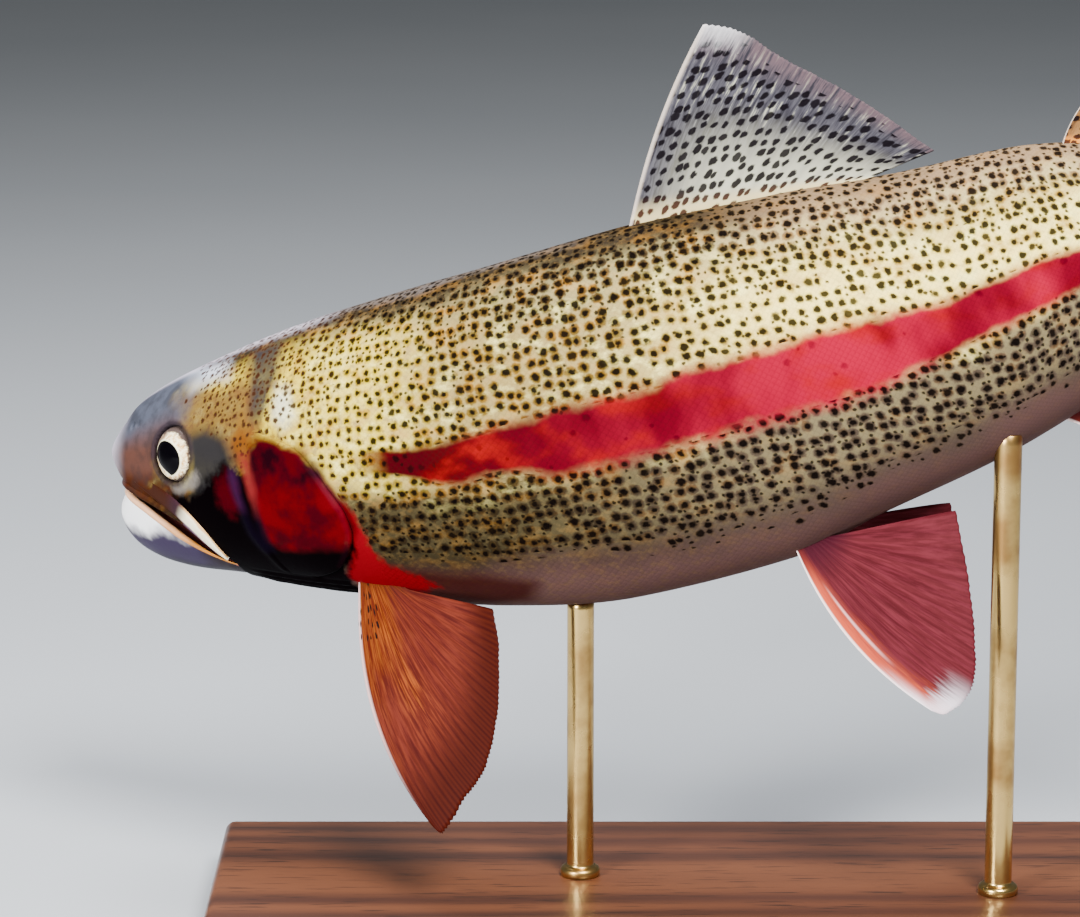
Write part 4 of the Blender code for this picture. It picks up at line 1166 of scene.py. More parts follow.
def makeEye(side, word, paint):
    surface, normal = eyeAxis(side)
    centre = surface - normal * (eyeForm["depth"] - eyeForm["proud"])
    rearward = spineAt(eyePlace[0])[1]
    rearward = rearward - normal * (rearward @ normal)
    rearward /= np.linalg.norm(rearward)
    up = np.cross(normal, rearward) * side
    angles = np.linspace(0, 2 * math.pi, eyeForm["around"] + 1)[:-1]
    rings, planes = [], []
    for k in range(1, eyeForm["rings"]):
        bearing = math.pi * k / eyeForm["rings"]
        front = bearing < math.pi / 2
        away = eyeForm["radius"] * math.sin(bearing)**(0.72 if front else 1)
        high = eyeForm["depth"] * math.copysign(abs(math.cos(bearing))**(0.85 if front else 1),
                                                math.cos(bearing))
        if front:
            high -= eyeForm["furrow"] * ringOf(away - 6.0 * mm, 1.2 * mm)
            high += eyeForm["bulge"] * smoothStep(eyeForm["pupil"], eyeForm["pupil"] * 0.7, away)
        rearPart, upPart = away * np.cos(angles), away * np.sin(angles)
        rings.append(centre + normal * high + rearward * rearPart[:, None] + up * upPart[:, None])
        planes.append(np.stack([rearPart, upPart, np.full(len(angles), high)], 1))
    front = centre + normal * (eyeForm["depth"] + eyeForm["bulge"])
    eye = closedTube("eye" + word, np.array(rings), front, centre - normal * eyeForm["depth"])
    poles = [[0, 0, 6 * mm], [0, 0, -6 * mm]]
    setVector(eye.data, "eyePlane", np.concatenate(planes + [poles]) / mm)
    eye.data.materials.append(paint)
    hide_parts("eye_" + word.lower())
    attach(eye, "root")


eyeMaterial = eyePaint()
for side, word in sides:
    makeEye(side, word, eyeMaterial)
print("eyes made")

# fins

finForm = {
    "rows": 60,
    "columnsPerRay": 8,
    "web": 0.40 * mm,                  # thickness of the membrane
    "ray": 0.20 * mm,                  # what a ray adds to it at the root
    "rootFlesh": 2.2 * mm,             # what the fleshy root adds
    "sink": 0.05,                      # share of the fin's length that runs on into the body
    "forks": (0.26, 0.125),            # how far a ray's branches part, in rays, at its two forks
    # unless a fin's own values say otherwise
    "sweep": 1.85,                     # spots to a ray
    "flesh": 1.0,
    "ragged": 0.009,                   # how far the web between two rays falls short of their tips
    "sway": 0.0,
}


def rayPattern(x, r):
    # 1 on a ray and 0 between: each ray forks twice on its way out
    near = np.full(x.shape, 9.0)
    cell = np.round(x)
    fork = finForm["forks"][0] * smoothStep(0.30, 0.85, r)
    second = finForm["forks"][1] * smoothStep(0.62, 1.0, r)
    for shift in (-1, 0, 1):
        for a in (-1, 1):
            for b in (-1, 1):
                near = np.minimum(near, np.abs(x - (cell + shift + a * fork + b * second)))
    return ringOf(near, 0.20 - 0.10 * smoothStep(0.3, 1.0, r))


def makeFin(node, form, path, lengths):
    # path(f, r) gives the fin's middle sheet; f runs from the first ray to the last, r outwards
    rays = form["rays"]
    columns, rows = form["columnsPerRay"] * (rays - 1) + 1, form["rows"] + 1
    f = np.linspace(0, 1, columns)[None, :].repeat(rows, 0)
    share = np.linspace(-form["sink"], 1, rows)[:, None].repeat(columns, 1)
    x = f * (rays - 1)
    tips = rayPattern(x, np.ones_like(x))
    wave = np.sin(x * 9.7) * 0.4 + np.sin(x * 4.1 + 1.0) * 0.6
    end = 1 - form["ragged"] * (1 - tips) - form["ragged"] * 0.5 * (1 + wave) / 2
    r = np.where(share > 0, share * end, share)
    grid = path(f, r)
    normal = np.cross(np.gradient(grid, axis=1), np.gradient(grid, axis=0))
    normal /= np.maximum(np.linalg.norm(normal, axis=2, keepdims=True), 1e-12)
    outward = np.clip(r, 0, 1)
    ray = rayPattern(x, outward)
    thick = form["web"] + form["ray"] * np.maximum(ray, ringOf(x, 0.35)) * (1 - 0.72 * outward)
    thick = thick + form["rootFlesh"] * form["flesh"] * np.exp(-outward / 0.09)
    half = (thick * np.minimum(1, 0.35 + (1 - share) * 9) / 2)[..., None]
    verts = np.concatenate([(grid + normal * half).reshape(-1, 3), (grid - normal * half).reshape(-1, 3)])
    first, *others = node.split("_")
    fin = newObject(first + "".join(word.title() for word in others), verts, slabFaces(rows, columns))
    place = np.stack([f, r, ray], -1).reshape(-1, 3)
    away = (r * lengths(f) / form["cell"]).ravel()
    spots = np.stack([x.ravel() * form["sweep"] + 40, away, np.zeros(away.size)], -1)
    for label, values in (("finPlace", place), ("finSpots", spots)):
        setVector(fin.data, label, np.concatenate([values, values]))
    fin.data.materials.append(finPaints[form["paint"]])
    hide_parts(node)
    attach(fin, "root")


def columnOf(tips, n, f):
    return smoothTable({k: v[n] for k, v in tips.items()}, f)


def medianSheet(form):
    # a fin on the middle plane; its tips are given as (t, mm above the backbone line)
    def ends(f):
        first, last = form["root"]
        t = first + (last - first) * f
        if "rootUp" in form:
            up = form["rootUp"][0] + (form["rootUp"][1] - form["rootUp"][0]) * f
        else:
            up = form["sign"] * (smoothTable(body[form["edge"]], t, True) - 0.3)
        return t, up, columnOf(form["tips"], 0, f), columnOf(form["tips"], 1, f)

    def path(f, r):
        t0, up0, t1, up1 = ends(f)
        bow = form["bow"] * (1 - f)**2 * 4 * r * (1 - r)
        length = np.hypot((t1 - t0) * body["length"] / mm, up1 - up0)
        t = t0 + (t1 - t0) * r - bow * (up1 - up0) / length * mm / body["length"]
        up = up0 + (up1 - up0) * r + bow * (t1 - t0) * body["length"] / mm / length
        return bodyPoint(t, form["sway"] * r * r * np.sign(r), up * mm)

    def lengths(f):
        t0, up0, t1, up1 = ends(f)
        return np.hypot((t1 - t0) * body["length"], (up1 - up0) * mm)
    return path, lengths


def pairedSheet(form):
    # a fin of one side, on the plane of two directions in the body's own (tailwards, out, up);
    # its tips are given as mm along them from the root
    side, (first, second) = form["side"], form["root"]
    _, along, left, above = spineAt(first)
    axes = np.array([along, left * side, above])
    backward = np.array(form["back"], float) @ axes
    backward /= np.linalg.norm(backward)
    downward = np.array(form["down"], float) @ axes
    downward -= backward * (backward @ downward)
    downward /= np.linalg.norm(downward)
    out = np.cross(backward, downward)
    out *= np.sign(out @ (left * side))
    origin = skinPoint(first, side * form["phi"])

    def ends(f):
        start = skinPoint(first + (second - first) * f, side * form["phi"])
        b, d = [columnOf(form["tips"], n, f)[..., None] * mm for n in (0, 1)]
        return start, origin + backward * b + downward * d

    def path(f, r):
        start, end = ends(f)
        lead = end - start
        across = np.cross(lead / np.linalg.norm(lead, axis=-1, keepdims=True), out)
        across *= -np.sign((across @ backward))[..., None]
        bulge = across * (form["bow"] * (1 - f)**1.5)[..., None] + out * form["cup"]
        return start + lead * r[..., None] + bulge * (4 * r * (1 - r))[..., None]

    def lengths(f):
        start, end = ends(f)
        return np.linalg.norm(end - start, axis=-1)
    return path, lengths


class FinPaint(Paint):
    # a paint that knows where on the fin it is
    def __init__(self, name):
        super().__init__(name, 0.50, {"Specular IOR Level": 0.02})
        self.f, self.r, self.ray = self.fedNode("SeparateXYZ", [self.attribute("finPlace", "Vector")]).outputs
        self.spotPlace = self.attribute("finSpots", "Vector")
        self.streak = self.noise(self.stretched(self.spotPlace, (3.0, 0.35, 1)), 1.0, 4, 0.6)

    def finish(self, colour):
        self.colour(colour)
        fine = self.noise(self.stretched(self.spotPlace, (16, 4, 1)), 1.0, 3)
        self.bump(fine, 0.3, 0.0001)
        return self.material


def spottedFinPaint(name, webs, foot, radius, keepHigh=0.90, margin=0.8):
    p = FinPaint(name)
    dark, middle, light = webs
    web = p.mix(p.mapped(p.streak, 0.36, 0.60), dark, middle)
    pale = p.times(p.mapped(p.r, 0.70, 0.10), p.mapped(p.f, 0.0, 0.36))
    colour = p.mix(p.times(pale, 0.9), web, light)
    glint = p.times(p.mapped(p.streak, 0.56, 0.68), p.mapped(p.r, 0.25, 0.75))
    colour = p.mix(p.times(glint, 0.8), colour, light)
    colour = p.mix(p.times(p.ray, 0.22), colour, middle)
    outer = p.times(p.mapped(p.r, 0.78, 0.98), p.mapped(p.streak, 0.34, 0.56))
    colour = p.mix(p.times(outer, margin), colour, tone(84, 66, 70))
    colour = p.mix(p.mapped(p.r, 0.14, 0.0), colour, foot)
    keep = p.mapped(p.r, keepHigh, keepHigh - 0.14, 0.0, 0.97)
    spots, halo, _ = spotLayer(p, p.spotPlace, 1.0, radius, 0.07, 3.1, keep)
    colour = p.mix(p.times(halo, 0.35), colour, dark)
    ink = p.mix(p.mapped(p.r, 0.03, 0.15), tone(48, 22, 16), tone(10, 6, 10))
    colour = p.mix(p.times(spots, 0.95), colour, ink)
    lead = p.times(p.mapped(p.f, 0.022, 0.006), 0.65)
    colour = p.mix(lead, colour, tone(206, 190, 176))
    tip = p.plus(p.r, p.swing(p.streak, 0.05))
    tip = p.times(p.mapped(tip, 0.86, 0.99), p.mapped(p.f, 0.22, 0.08))
    colour = p.mix(p.times(tip, 0.6), colour, tone(200, 198, 200))
    return p.finish(colour)


def orangeFinPaint():
    p = FinPaint("finOrange")
    blotch = p.noise(p.stretched(p.spotPlace, (0.32, 0.16, 1)), 1.0, 3)
    hot = p.mix(p.mapped(p.streak, 0.40, 0.62), tone(66, 16, 5), tone(104, 50, 13))
    dusk = p.mix(p.mapped(p.streak, 0.38, 0.64), tone(58, 15, 12), tone(84, 31, 22))
    split = p.plus(p.times(p.r, 0.85), p.times(p.f, 0.60), p.swing(blotch, 0.22))
    colour = p.mix(p.mapped(split, 0.26, 0.66), hot, dusk)
    colour = p.mix(p.times(p.mapped(p.r, 0.60, 0.92), 0.98), colour, tone(33, 1, 2))
    fromMiddle = p.math("ABSOLUTE", p.minus(p.f, 0.34))
    glow = p.times(p.mapped(fromMiddle, 0.18, 0.02), p.mapped(p.r, 0.80, 0.45),
                   p.mapped(p.streak, 0.46, 0.66, 0.0, 0.36))
    colour = p.mix(glow, colour, tone(150, 74, 18))
    colour = p.mix(p.times(p.ray, 0.08), colour, tone(150, 66, 30))
    lead = p.times(p.mapped(p.f, 0.050, 0.014), 0.85, p.mapped(p.r, 0.95, 0.45))
    colour = p.mix(lead, colour, tone(196, 160, 156))
    keep = p.times(p.mapped(p.r, 0.24, 0.18, 0, 0.7), p.mapped(p.f, 0.34, 0.26))
    spots, _, _ = spotLayer(p, p.spotPlace, 1.0, 0.24, 0.06, 1.3, keep)
    colour = p.mix(spots, colour, tone(20, 8, 8))
    return p.finish(colour)


def roseFinPaint():
    p = FinPaint("finRose")
    web = p.mix(p.mapped(p.streak, 0.40, 0.66), tone(60, 15, 20), tone(80, 26, 34))
    colour = p.mix(p.times(p.ray, 0.10), web, tone(140, 60, 66))
    front = p.mapped(p.plus(p.f, p.swing(p.streak, 0.05)), 0.26, 0.04)
    colour = p.mix(p.times(front, 0.8), colour, tone(186, 74, 46))
    fromStreak = p.math("ABSOLUTE", p.minus(p.f, 0.16))
    pale = p.times(p.mapped(fromStreak, 0.024, 0.0), p.mapped(p.r, 0.15, 0.35), p.mapped(p.r, 0.70, 0.50))
    colour = p.mix(p.times(pale, 0.6), colour, tone(226, 170, 168))
    # painted shade at the fin's root, where it meets the body
    colour = p.mix(p.times(p.mapped(p.r, 0.22, 0.0), 0.85), colour, tone(46, 10, 22))
    lead = p.times(p.mapped(p.f, 0.045, 0.012), 0.95)
    colour = p.mix(lead, colour, tone(240, 214, 208))
    ragged = p.plus(p.r, p.swing(p.streak, 0.04))
    margin = p.times(p.mapped(ragged, 0.62, 0.92), p.mapped(p.f, 0.16, 0.04))
    tip = p.times(p.mapped(ragged, 0.84, 0.97), p.mapped(p.f, 0.46, 0.18))
    tip = p.larger(tip, margin)
    colour = p.mix(p.times(tip, 0.72), colour, tone(224, 214, 222))
    return p.finish(colour)


# web dark, middle and light, foot, spots' radius, where they end and the margin's weight
finPaints = {
    "dorsal": spottedFinPaint("finSpotted", (tone(36, 34, 40), tone(72, 70, 76), tone(176, 174, 152)),
                              tone(188, 170, 122), 0.31, 0.97),
    "tail": spottedFinPaint("finTail", (tone(96, 84, 66), tone(140, 126, 96), tone(186, 170, 132)),
                            tone(150, 110, 58), 0.25, 0.93, 0.5),
    "adipose": spottedFinPaint("finAdipose", (tone(70, 46, 28), tone(110, 76, 44), tone(146, 106, 62)),
                               tone(206, 124, 36), 0.30, 0.98, 0.7),
    "orange": orangeFinPaint(),
    "rose": roseFinPaint(),
}

pelvicTips = {0: (23, 56.5), 0.1: (26, 58.3), 0.28: (32, 56.5), 0.45: (37, 51.5), 0.65: (41, 40),
              0.82: (44.5, 24), 1: (47.5, 2.5)}
pectoral = {"paint": "orange", "slot": "orange_fin", "rays": 14, "cell": 4.2 * mm, "root": (0.247, 0.280)}
pelvic = {"paint": "rose", "slot": "rose_fin", "rays": 11, "cell": 4.2 * mm, "root": (0.545, 0.572),
          "back": (1, -0.08, 0), "down": (0, 0.45, -1), "bow": 5 * mm, "cup": 1.0 * mm}
medianFins = {
    "fin_dorsal": {
        "paint": "dorsal", "slot": "spotted_fin", "rays": 13, "cell": 4.1 * mm, "root": (0.499, 0.677),
        "edge": "back", "sign": 1, "bow": 2.6, "sway": 3 * mm,
        "tips": {0: (0.600, 106.8), 0.12: (0.6218, 102), 0.35: (0.648, 90), 0.6: (0.682, 76.3),
                 0.8: (0.7075, 64), 0.93: (0.725, 54), 1: (0.732, 50.2)}},
    "fin_adipose": {
        "paint": "adipose", "slot": "adipose_fin", "rays": 5, "cell": 2.6 * mm, "root": (0.820, 0.848),
        "edge": "back", "sign": 1, "bow": 2.0, "sweep": 0.8, "flesh": 0.9, "ragged": 0.0,
        "tips": {0: (0.868, 51), 0.5: (0.876, 47), 1: (0.871, 41)}},
    "fin_anal": {
        "paint": "rose", "slot": "rose_fin", "rays": 12, "cell": 4.6 * mm, "root": (0.752, 0.820),
        "edge": "belly", "sign": -1, "bow": 2.5,
        "tips": {0: (0.838, -84), 0.15: (0.850, -84), 0.45: (0.870, -68), 0.75: (0.880, -53),
                 1: (0.878, -41)}},
    "fin_tail": {
        "paint": "tail", "slot": "spotted_fin", "rays": 20, "cell": 4.6 * mm, "root": (0.998, 0.998),
        "rootUp": (24.4, -22.8), "bow": 0.0, "sweep": 1.3, "flesh": 1.6,
        "tips": {0: (1.152, 53), 0.06: (1.172, 54), 0.15: (1.168, 46), 0.3: (1.150, 30), 0.5: (1.139, 2),
                 0.7: (1.150, -27), 0.85: (1.168, -44), 0.94: (1.172, -52), 1: (1.152, -51)}},
}
pairedFins = {
    "fin_pectoral_left": {
        **pectoral, "side": 1, "phi": 147, "back": (1, -0.15, 0.05), "down": (0, 0.45, -1),
        "bow": 7.5 * mm, "cup": 1.5 * mm,
        "tips": {0: (23, 75.5), 0.08: (25.2, 77), 0.25: (32.8, 67.4), 0.4: (38.5, 60.6),
                 0.55: (42, 50.6), 0.72: (44, 37.4), 0.88: (44.2, 24), 1: (42.5, 12)}},
    "fin_pectoral_right": {
        # folded back along the body
        **pectoral, "side": -1, "phi": 140, "back": (1, 0.22, 0), "down": (0, 0.3, -0.95),
        "bow": 2.5 * mm, "cup": 4.0 * mm,
        "tips": {0: (70, 16), 0.1: (72, 17), 0.3: (69, 15), 0.6: (60, 11), 0.85: (50, 8), 1: (44, 7)}},
    "fin_pelvic_left": {**pelvic, "side": 1, "phi": 160, "tips": pelvicTips},
    # a little less open than the left one
    "fin_pelvic_right": {**pelvic, "side": -1, "phi": 162,
                         "tips": {f: (b - 1.4, d * 0.93) for f, (b, d) in pelvicTips.items()}},
}

for finRows, sheetOf in ((medianFins, medianSheet), (pairedFins, pairedSheet)):
    for node, values in finRows.items():
        finValues = {**finForm, **values}
        makeFin(node, finValues, *sheetOf(finValues))
print("fins made")

# the coat of scales

coatForm = {
    "lengthwise": 2.15 * mm,           # from one scale of a row to the next
    "across": 1.12 * mm,               # from one row to the next
    "scaleLength": 3.1 * mm,
    "scaleWidth": 2.35 * mm,
    "thickness": 0.14 * mm,
    "lift": 2.2,                       # degrees that the free edge rises
    "sides": 8,
    "sizes": (0.93, 1.07),
    "smallest": 0.42,                  # a scale's size where the body has no girth left
    "seed": 7,
    "depth": 0.20 * mm,                # a scale's middle lies this far under the solid's surface
    "start": 0.185,
    "end": 1.0,
    "pieces": 5,
    "patch": 0.0015,                   # half a scale's patch on the baking map
}


def scaleBeds():
    # rows of places, each row half a step on from the last
    placeRows = []
    most = girthTable[:, -1].max()
    rowCount = int(most / coatForm["across"])
    fineT = np.linspace(coatForm["start"], coatForm["end"], 2400)
    girth = girthAt(fineT, np.full(len(fineT), 180.0))
    size = coatForm["smallest"] + (1 - coatForm["smallest"]) * girth / most
    step = coatForm["lengthwise"] * size
    travel = np.concatenate([[0], np.cumsum(np.diff(fineT) * body["length"] / step[1:])])
    for k in range(rowCount + 1):
        # a row keeps its share of the girth, so rows draw together where the body thins
        wanted = k / rowCount * girth
        low, high = np.zeros(len(fineT)), np.full(len(fineT), 180.0)
        for _ in range(22):
            phi = (low + high) / 2
            less = girthAt(fineT, phi) < wanted
            low, high = np.where(less, phi, low), np.where(less, high, phi)
        stops = np.arange(0.5 * (k % 2), travel[-1], 1.0)
        t = np.interp(stops, travel, fineT)
        placeRows.append(np.stack([t, np.interp(t, fineT, phi), np.interp(t, fineT, size)], 1))
    return np.concatenate(placeRows)


def makeScaleTree():
    tree = bpy.data.node_groups.new("scaleCoat", "GeometryNodeTree")
    face = tree.interface
    face.new_socket("Geometry", in_out="INPUT", socket_type="NodeSocketGeometry")
    for label in ("Scale Length", "Scale Width", "Thickness", "Lift", "Patch"):
        face.new_socket(label, in_out="INPUT", socket_type="NodeSocketFloat")
    for label in ("Sides", "Seed"):
        face.new_socket(label, in_out="INPUT", socket_type="NodeSocketInt")
    face.new_socket("Material", in_out="INPUT", socket_type="NodeSocketMaterial")
    face.new_socket("Geometry", in_out="OUTPUT", socket_type="NodeSocketGeometry")
    new, link = tree.nodes.new, tree.links.new
    given, result = new("NodeGroupInput"), new("NodeGroupOutput")

    def multiplied(value, factor):
        made = new("ShaderNodeMath")
        made.operation = "MULTIPLY"
        link(value, made.inputs[0])
        if hasattr(factor, "is_output"):
            link(factor, made.inputs[1])
        else:
            made.inputs[1].default_value = factor
        return made.outputs[0]

    ball = new("GeometryNodeMeshUVSphere")
    ball.inputs["Rings"].default_value = 2
    ball.inputs["Radius"].default_value = 1
    link(given.outputs["Sides"], ball.inputs["Segments"])
    position = new("GeometryNodeInputPosition")
    local = new("GeometryNodeStoreNamedAttribute")
    local.data_type, local.domain = "FLOAT_VECTOR", "POINT"
    local.inputs["Name"].default_value = "local"
    link(ball.outputs["Mesh"], local.inputs["Geometry"])
    link(position.outputs[0], local.inputs["Value"])
    halves = new("ShaderNodeCombineXYZ")
    for socket, label in zip(halves.inputs, ("Scale Length", "Scale Width", "Thickness")):
        link(multiplied(given.outputs[label], 0.5), socket)
    sized = new("ShaderNodeVectorMath")
    sized.operation = "MULTIPLY"
    link(position.outputs[0], sized.inputs[0])
    link(halves.outputs[0], sized.inputs[1])
    shaped = new("GeometryNodeSetPosition")
    link(local.outputs["Geometry"], shaped.inputs["Geometry"])
    link(sized.outputs[0], shaped.inputs["Position"])
    tilted = new("GeometryNodeTransform")
    turn = new("ShaderNodeCombineXYZ")
    link(multiplied(given.outputs["Lift"], -math.pi / 180), turn.inputs[1])
    link(shaped.outputs[0], tilted.inputs["Geometry"])
    link(turn.outputs[0], tilted.inputs["Rotation"])

    def named(label, kind):
        made = new("GeometryNodeInputNamedAttribute")
        made.data_type = kind
        made.inputs["Name"].default_value = label
        return made.outputs["Attribute"]

    axes = new("FunctionNodeAxesToRotation")
    axes.primary_axis, axes.secondary_axis = "Z", "X"
    link(named("face", "FLOAT_VECTOR"), axes.inputs[0])
    link(named("lie", "FLOAT_VECTOR"), axes.inputs[1])
    vary = new("FunctionNodeRandomValue")
    vary.data_type = "FLOAT"
    vary.inputs[2].default_value, vary.inputs[3].default_value = coatForm["sizes"]
    link(given.outputs["Seed"], vary.inputs["Seed"])
    grow = multiplied(vary.outputs[1], named("grow", "FLOAT"))
    laid = new("GeometryNodeInstanceOnPoints")
    link(given.outputs["Geometry"], laid.inputs["Points"])
    link(tilted.outputs[0], laid.inputs["Instance"])
    link(axes.outputs[0], laid.inputs["Rotation"])
    link(grow, laid.inputs["Scale"])
    real = new("GeometryNodeRealizeInstances")
    link(laid.outputs[0], real.inputs[0])

    patch = new("ShaderNodeVectorMath")
    patch.operation = "SCALE"
    link(named("local", "FLOAT_VECTOR"), patch.inputs[0])
    link(given.outputs["Patch"], patch.inputs["Scale"])
    placed = new("ShaderNodeVectorMath")
    placed.operation = "ADD"
    link(patch.outputs[0], placed.inputs[0])
    link(named("unwrap", "FLOAT_VECTOR"), placed.inputs[1])
    bake = new("GeometryNodeStoreNamedAttribute")
    bake.data_type, bake.domain = "FLOAT2", "CORNER"
    bake.inputs["Name"].default_value = "OFBake"
    link(real.outputs[0], bake.inputs["Geometry"])
    link(placed.outputs[0], bake.inputs["Value"])
    painted = new("GeometryNodeSetMaterial")
    link(bake.outputs[0], painted.inputs["Geometry"])
    link(given.outputs["Material"], painted.inputs["Material"])
    link(painted.outputs[0], result.inputs[0])
    return tree


def makeCoat():
    beds = scaleBeds()
    beds = beds[fieldOf(beds[:, 0], beds[:, 1], coatEdge) > 0.2 * mm]
    paired = beds[(beds[:, 1] > 0.5) & (beds[:, 1] < 179.5)]
    both = np.concatenate([beds, paired * [1, -1, 1]])
    both = both[np.argsort(both[:, 0], kind="stable")]
    t, phi, size = both.T
    points, normals = skinPoint(t, phi), skinNormal(t, phi)
    tangent = skinPoint(t + nearby, phi) - skinPoint(t - nearby, phi)
    points = points - normals * coatForm["depth"]
    unwrap = np.stack([t, 0.5 + phi / 360, np.zeros(len(t))], 1)
    tree = makeScaleTree()
    settings = {"Scale Length": coatForm["scaleLength"], "Scale Width": coatForm["scaleWidth"],
                "Thickness": coatForm["thickness"], "Lift": coatForm["lift"], "Patch": coatForm["patch"],
                "Sides": coatForm["sides"], "Seed": coatForm["seed"], "Material": scaleMaterial}
    sockets = {s.name: s.identifier for s in tree.interface.items_tree if s.in_out == "INPUT"}
    for k, part in enumerate(np.array_split(np.arange(len(t)), coatForm["pieces"])):
        bed = bpy.data.meshes.new("scaleBed")
        bed.from_pydata([tuple(p) for p in points[part]], [], [])
        for label, values in (("face", normals), ("lie", tangent), ("unwrap", unwrap)):
            setVector(bed, label, values[part])
        setFloat(bed, "grow", size[part])
        carrier = addObject("scaleBed", bed)
        mod = carrier.modifiers.new("scales", "NODES")
        mod.node_group = tree
        for label, value in settings.items():
            mod[sockets[label]] = value
        mesh = bpy.data.meshes.new_from_object(
            carrier.evaluated_get(bpy.context.evaluated_depsgraph_get()))
        bpy.data.objects.remove(carrier)
        mesh.shade_flat()
        coat = addObject("scaleCoat" + str(k + 1), mesh)
        local = np.zeros(len(mesh.vertices) * 3, np.float32)
        mesh.attributes["local"].data.foreach_get("vector", local)
        setFloat(mesh, "rim", np.linalg.norm(local.reshape(-1, 3)[:, :2], axis=1))
        markPlaces(coat)
        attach(coat, "root")
        print("coat", k + 1, len(part), "scales,", len(mesh.polygons), "faces")


makeCoat()

# stand


def woodPaint():
    p = Paint("standWood", 0.42, {"Coat Weight": 0.35, "Coat Roughness": 0.18})
    place = p.objectPlace()
    drift = p.noise(p.stretched(place, (5, 22, 22)), 1.0, 3)
    rings = p.node("TexWave", wave_type="RINGS", rings_direction="X")
    p.feed(rings.inputs["Vector"], p.stretched(place, (3, 34, 60)))
    rings.inputs["Scale"].default_value = 0.8
    rings.inputs["Distortion"].default_value = 5.0
    rings.inputs["Detail"].default_value = 3.0
    pores = p.noise(p.stretched(place, (60, 900, 900)), 1.0, 2)
    colour = p.mix(rings.outputs["Fac"], tone(58, 30, 18), tone(98, 56, 32))
    colour = p.mix(p.times(p.mapped(drift, 0.4, 0.7), 0.6), colour, tone(74, 38, 22))
    colour = p.mix(p.times(p.mapped(pores, 0.58, 0.70), 0.7), colour, tone(30, 14, 8))
    p.colour(colour)
    p.bump(pores, 0.25, 0.0002)
    return p.material


def brassPaint():
    p = Paint("standBrass", 0.26, {"Metallic": 1.0})
    place = p.objectPlace()
    brushed = p.noise(p.stretched(place, (900, 900, 40)), 1.0, 3)
    tarnish = p.noise(place, 60, 4)
    colour = p.mix(p.mapped(tarnish, 0.42, 0.72), tone(206, 172, 104), tone(150, 112, 62))
    p.colour(colour)
    p.feed(p.shader.inputs["Roughness"], p.mapped(tarnish, 0.3, 0.7, 0.20, 0.36))
    p.bump(brushed, 0.15, 0.0001)
    return p.material


standForm = {
    "edge": 3.0 * mm,
    "edgeSteps": 6,
    "rodRadius": 4.0 * mm,
    "rodSides": 56,
    "rodRows": 40,
    "rodEdge": 0.3 * mm,
    "collar": 1.9 * mm,                # how far the foot's collar stands out, and its height
    "collarHeight": 3.0 * mm,
}


def standPiece(obj, node, paint):
    obj.data.materials.append(paint)
    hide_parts(node)
    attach(obj, "root")


def makeStand():
    low, high = [Vector(v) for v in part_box("stand_base")]
    slab = bmesh.new()
    bmesh.ops.create_cube(slab, size=1)
    for v in slab.verts:
        v.co = Vector([(a + b) / 2 + c * (b - a) for a, b, c in zip(low, high, v.co)])
    bmesh.ops.bevel(slab, geom=[e for e in slab.edges if max(v.co.z for v in e.verts) > low.z + mm],
                    offset=standForm["edge"], segments=standForm["edgeSteps"], affect="EDGES", profile=0.5)
    mesh = bpy.data.meshes.new("standBase")
    slab.to_mesh(mesh)
    slab.free()
    mesh.shade_smooth()
    standPiece(addObject("standBase", mesh), "stand_base", woodPaint())
    brass = brassPaint()
    for word in ("front", "rear"):
        foot, top = [Vector(v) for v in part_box("stand_rod_" + word)]
        x, y = (foot.x + top.x) / 2, (foot.y + top.y) / 2
        r, c, h = standForm["rodRadius"], standForm["collar"], standForm["collarHeight"]
        base, edge, count = high.z, standForm["rodEdge"], standForm["rodRows"]
        shaft = base + 1.3 * h
        outline = [(foot.z, r), (base - 0.2 * mm, r), (base, r + c), (base + 0.6 * h, r + c),
                   (base + 0.85 * h, r + 0.8 * c), (base + h, r + 0.35 * c), (base + h, r)]
        outline += [(shaft + (top.z - shaft) * k / count, r) for k in range(count)]
        outline += [(top.z - edge, r), (top.z, r - edge)]
        angles = np.linspace(0, 2 * math.pi, standForm["rodSides"] + 1)[:-1]
        rings = np.array([[(x + w * math.cos(a), y + w * math.sin(a), z) for a in angles]
                          for z, w in outline])
        rod = closedTube("rod" + word.title(), rings, (x, y, foot.z), (x, y, top.z))
        standPiece(rod, "stand_rod_" + word, brass)


makeStand()
print("stand made")

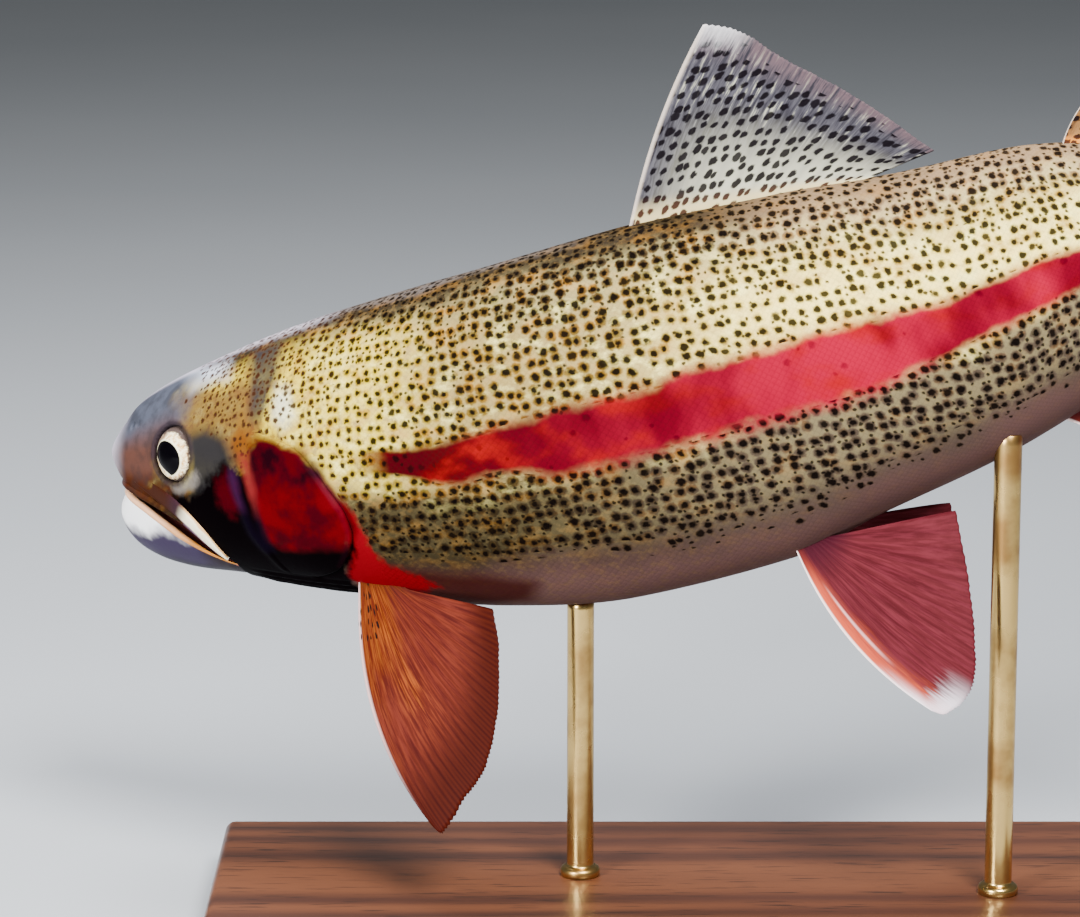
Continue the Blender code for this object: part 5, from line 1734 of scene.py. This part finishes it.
# floor, light and camera

studio = {
    "floorSize": 6.0,
    "cameraPlace": (-0.0470, -1.1838, 0.3950),
    "cameraTilt": 12.0,                # degrees below the horizon
    "lens": 137.93,
    "sensor": 36,
    "sky": (0.82, 0.86, 0.9, 1),
    "skyStrength": 0.16,
    # name, place, what it is aimed at, size in metres, watts and colour
    "lights": [
        ("keyLight", (0.30, -0.85, 1.15), (0.02, 0.0, 0.17), 0.55, 53, (1, 1, 1)),
        ("topLight", (-0.25, 0.30, 1.20), (-0.05, 0.0, 0.18), 0.6, 20, (0.92, 0.94, 1.0)),
        ("headLight", (-0.75, -0.85, 0.50), (-0.14, 0.0, 0.11), 0.3, 30, (1, 1, 1)),
    ],
}


def makeFloor():
    half = studio["floorSize"] / 2
    mesh = bpy.data.meshes.new("floor")
    mesh.from_pydata([(-half, -half, 0), (half, -half, 0), (half, half, 0), (-half, half, 0)], [],
                     [(0, 1, 2, 3)])
    p = Paint("floorPale", 0.7)
    tint = p.noise(p.objectPlace(), 3.0, 2)
    p.colour(p.mix(tint, tone(164, 168, 172), tone(172, 175, 178)))
    mesh.materials.append(p.material)
    addObject("floor", mesh)


def areaLight(name, place, aim, size, power, colour):
    data = bpy.data.lights.new(name, "AREA")
    data.shape, data.size, data.energy, data.color = "DISK", size, power, colour
    lamp = addObject(name, data)
    lamp.location = place
    lamp.rotation_euler = (Vector(aim) - Vector(place)).to_track_quat("-Z", "Y").to_euler()


makeFloor()
for light in studio["lights"]:
    areaLight(*light)
world = bpy.data.worlds.new("studio")
world.use_nodes = True
sky = world.node_tree.nodes["Background"]
sky.inputs["Color"].default_value = studio["sky"]
sky.inputs["Strength"].default_value = studio["skyStrength"]
bpy.context.scene.world = world

cameraData = bpy.data.cameras.new("camera")
cameraData.lens, cameraData.sensor_width = studio["lens"], studio["sensor"]
camera = addObject("camera", cameraData)
camera.location = studio["cameraPlace"]
camera.rotation_euler = (math.radians(90 - studio["cameraTilt"]), 0, 0)
bpy.context.scene.camera = camera
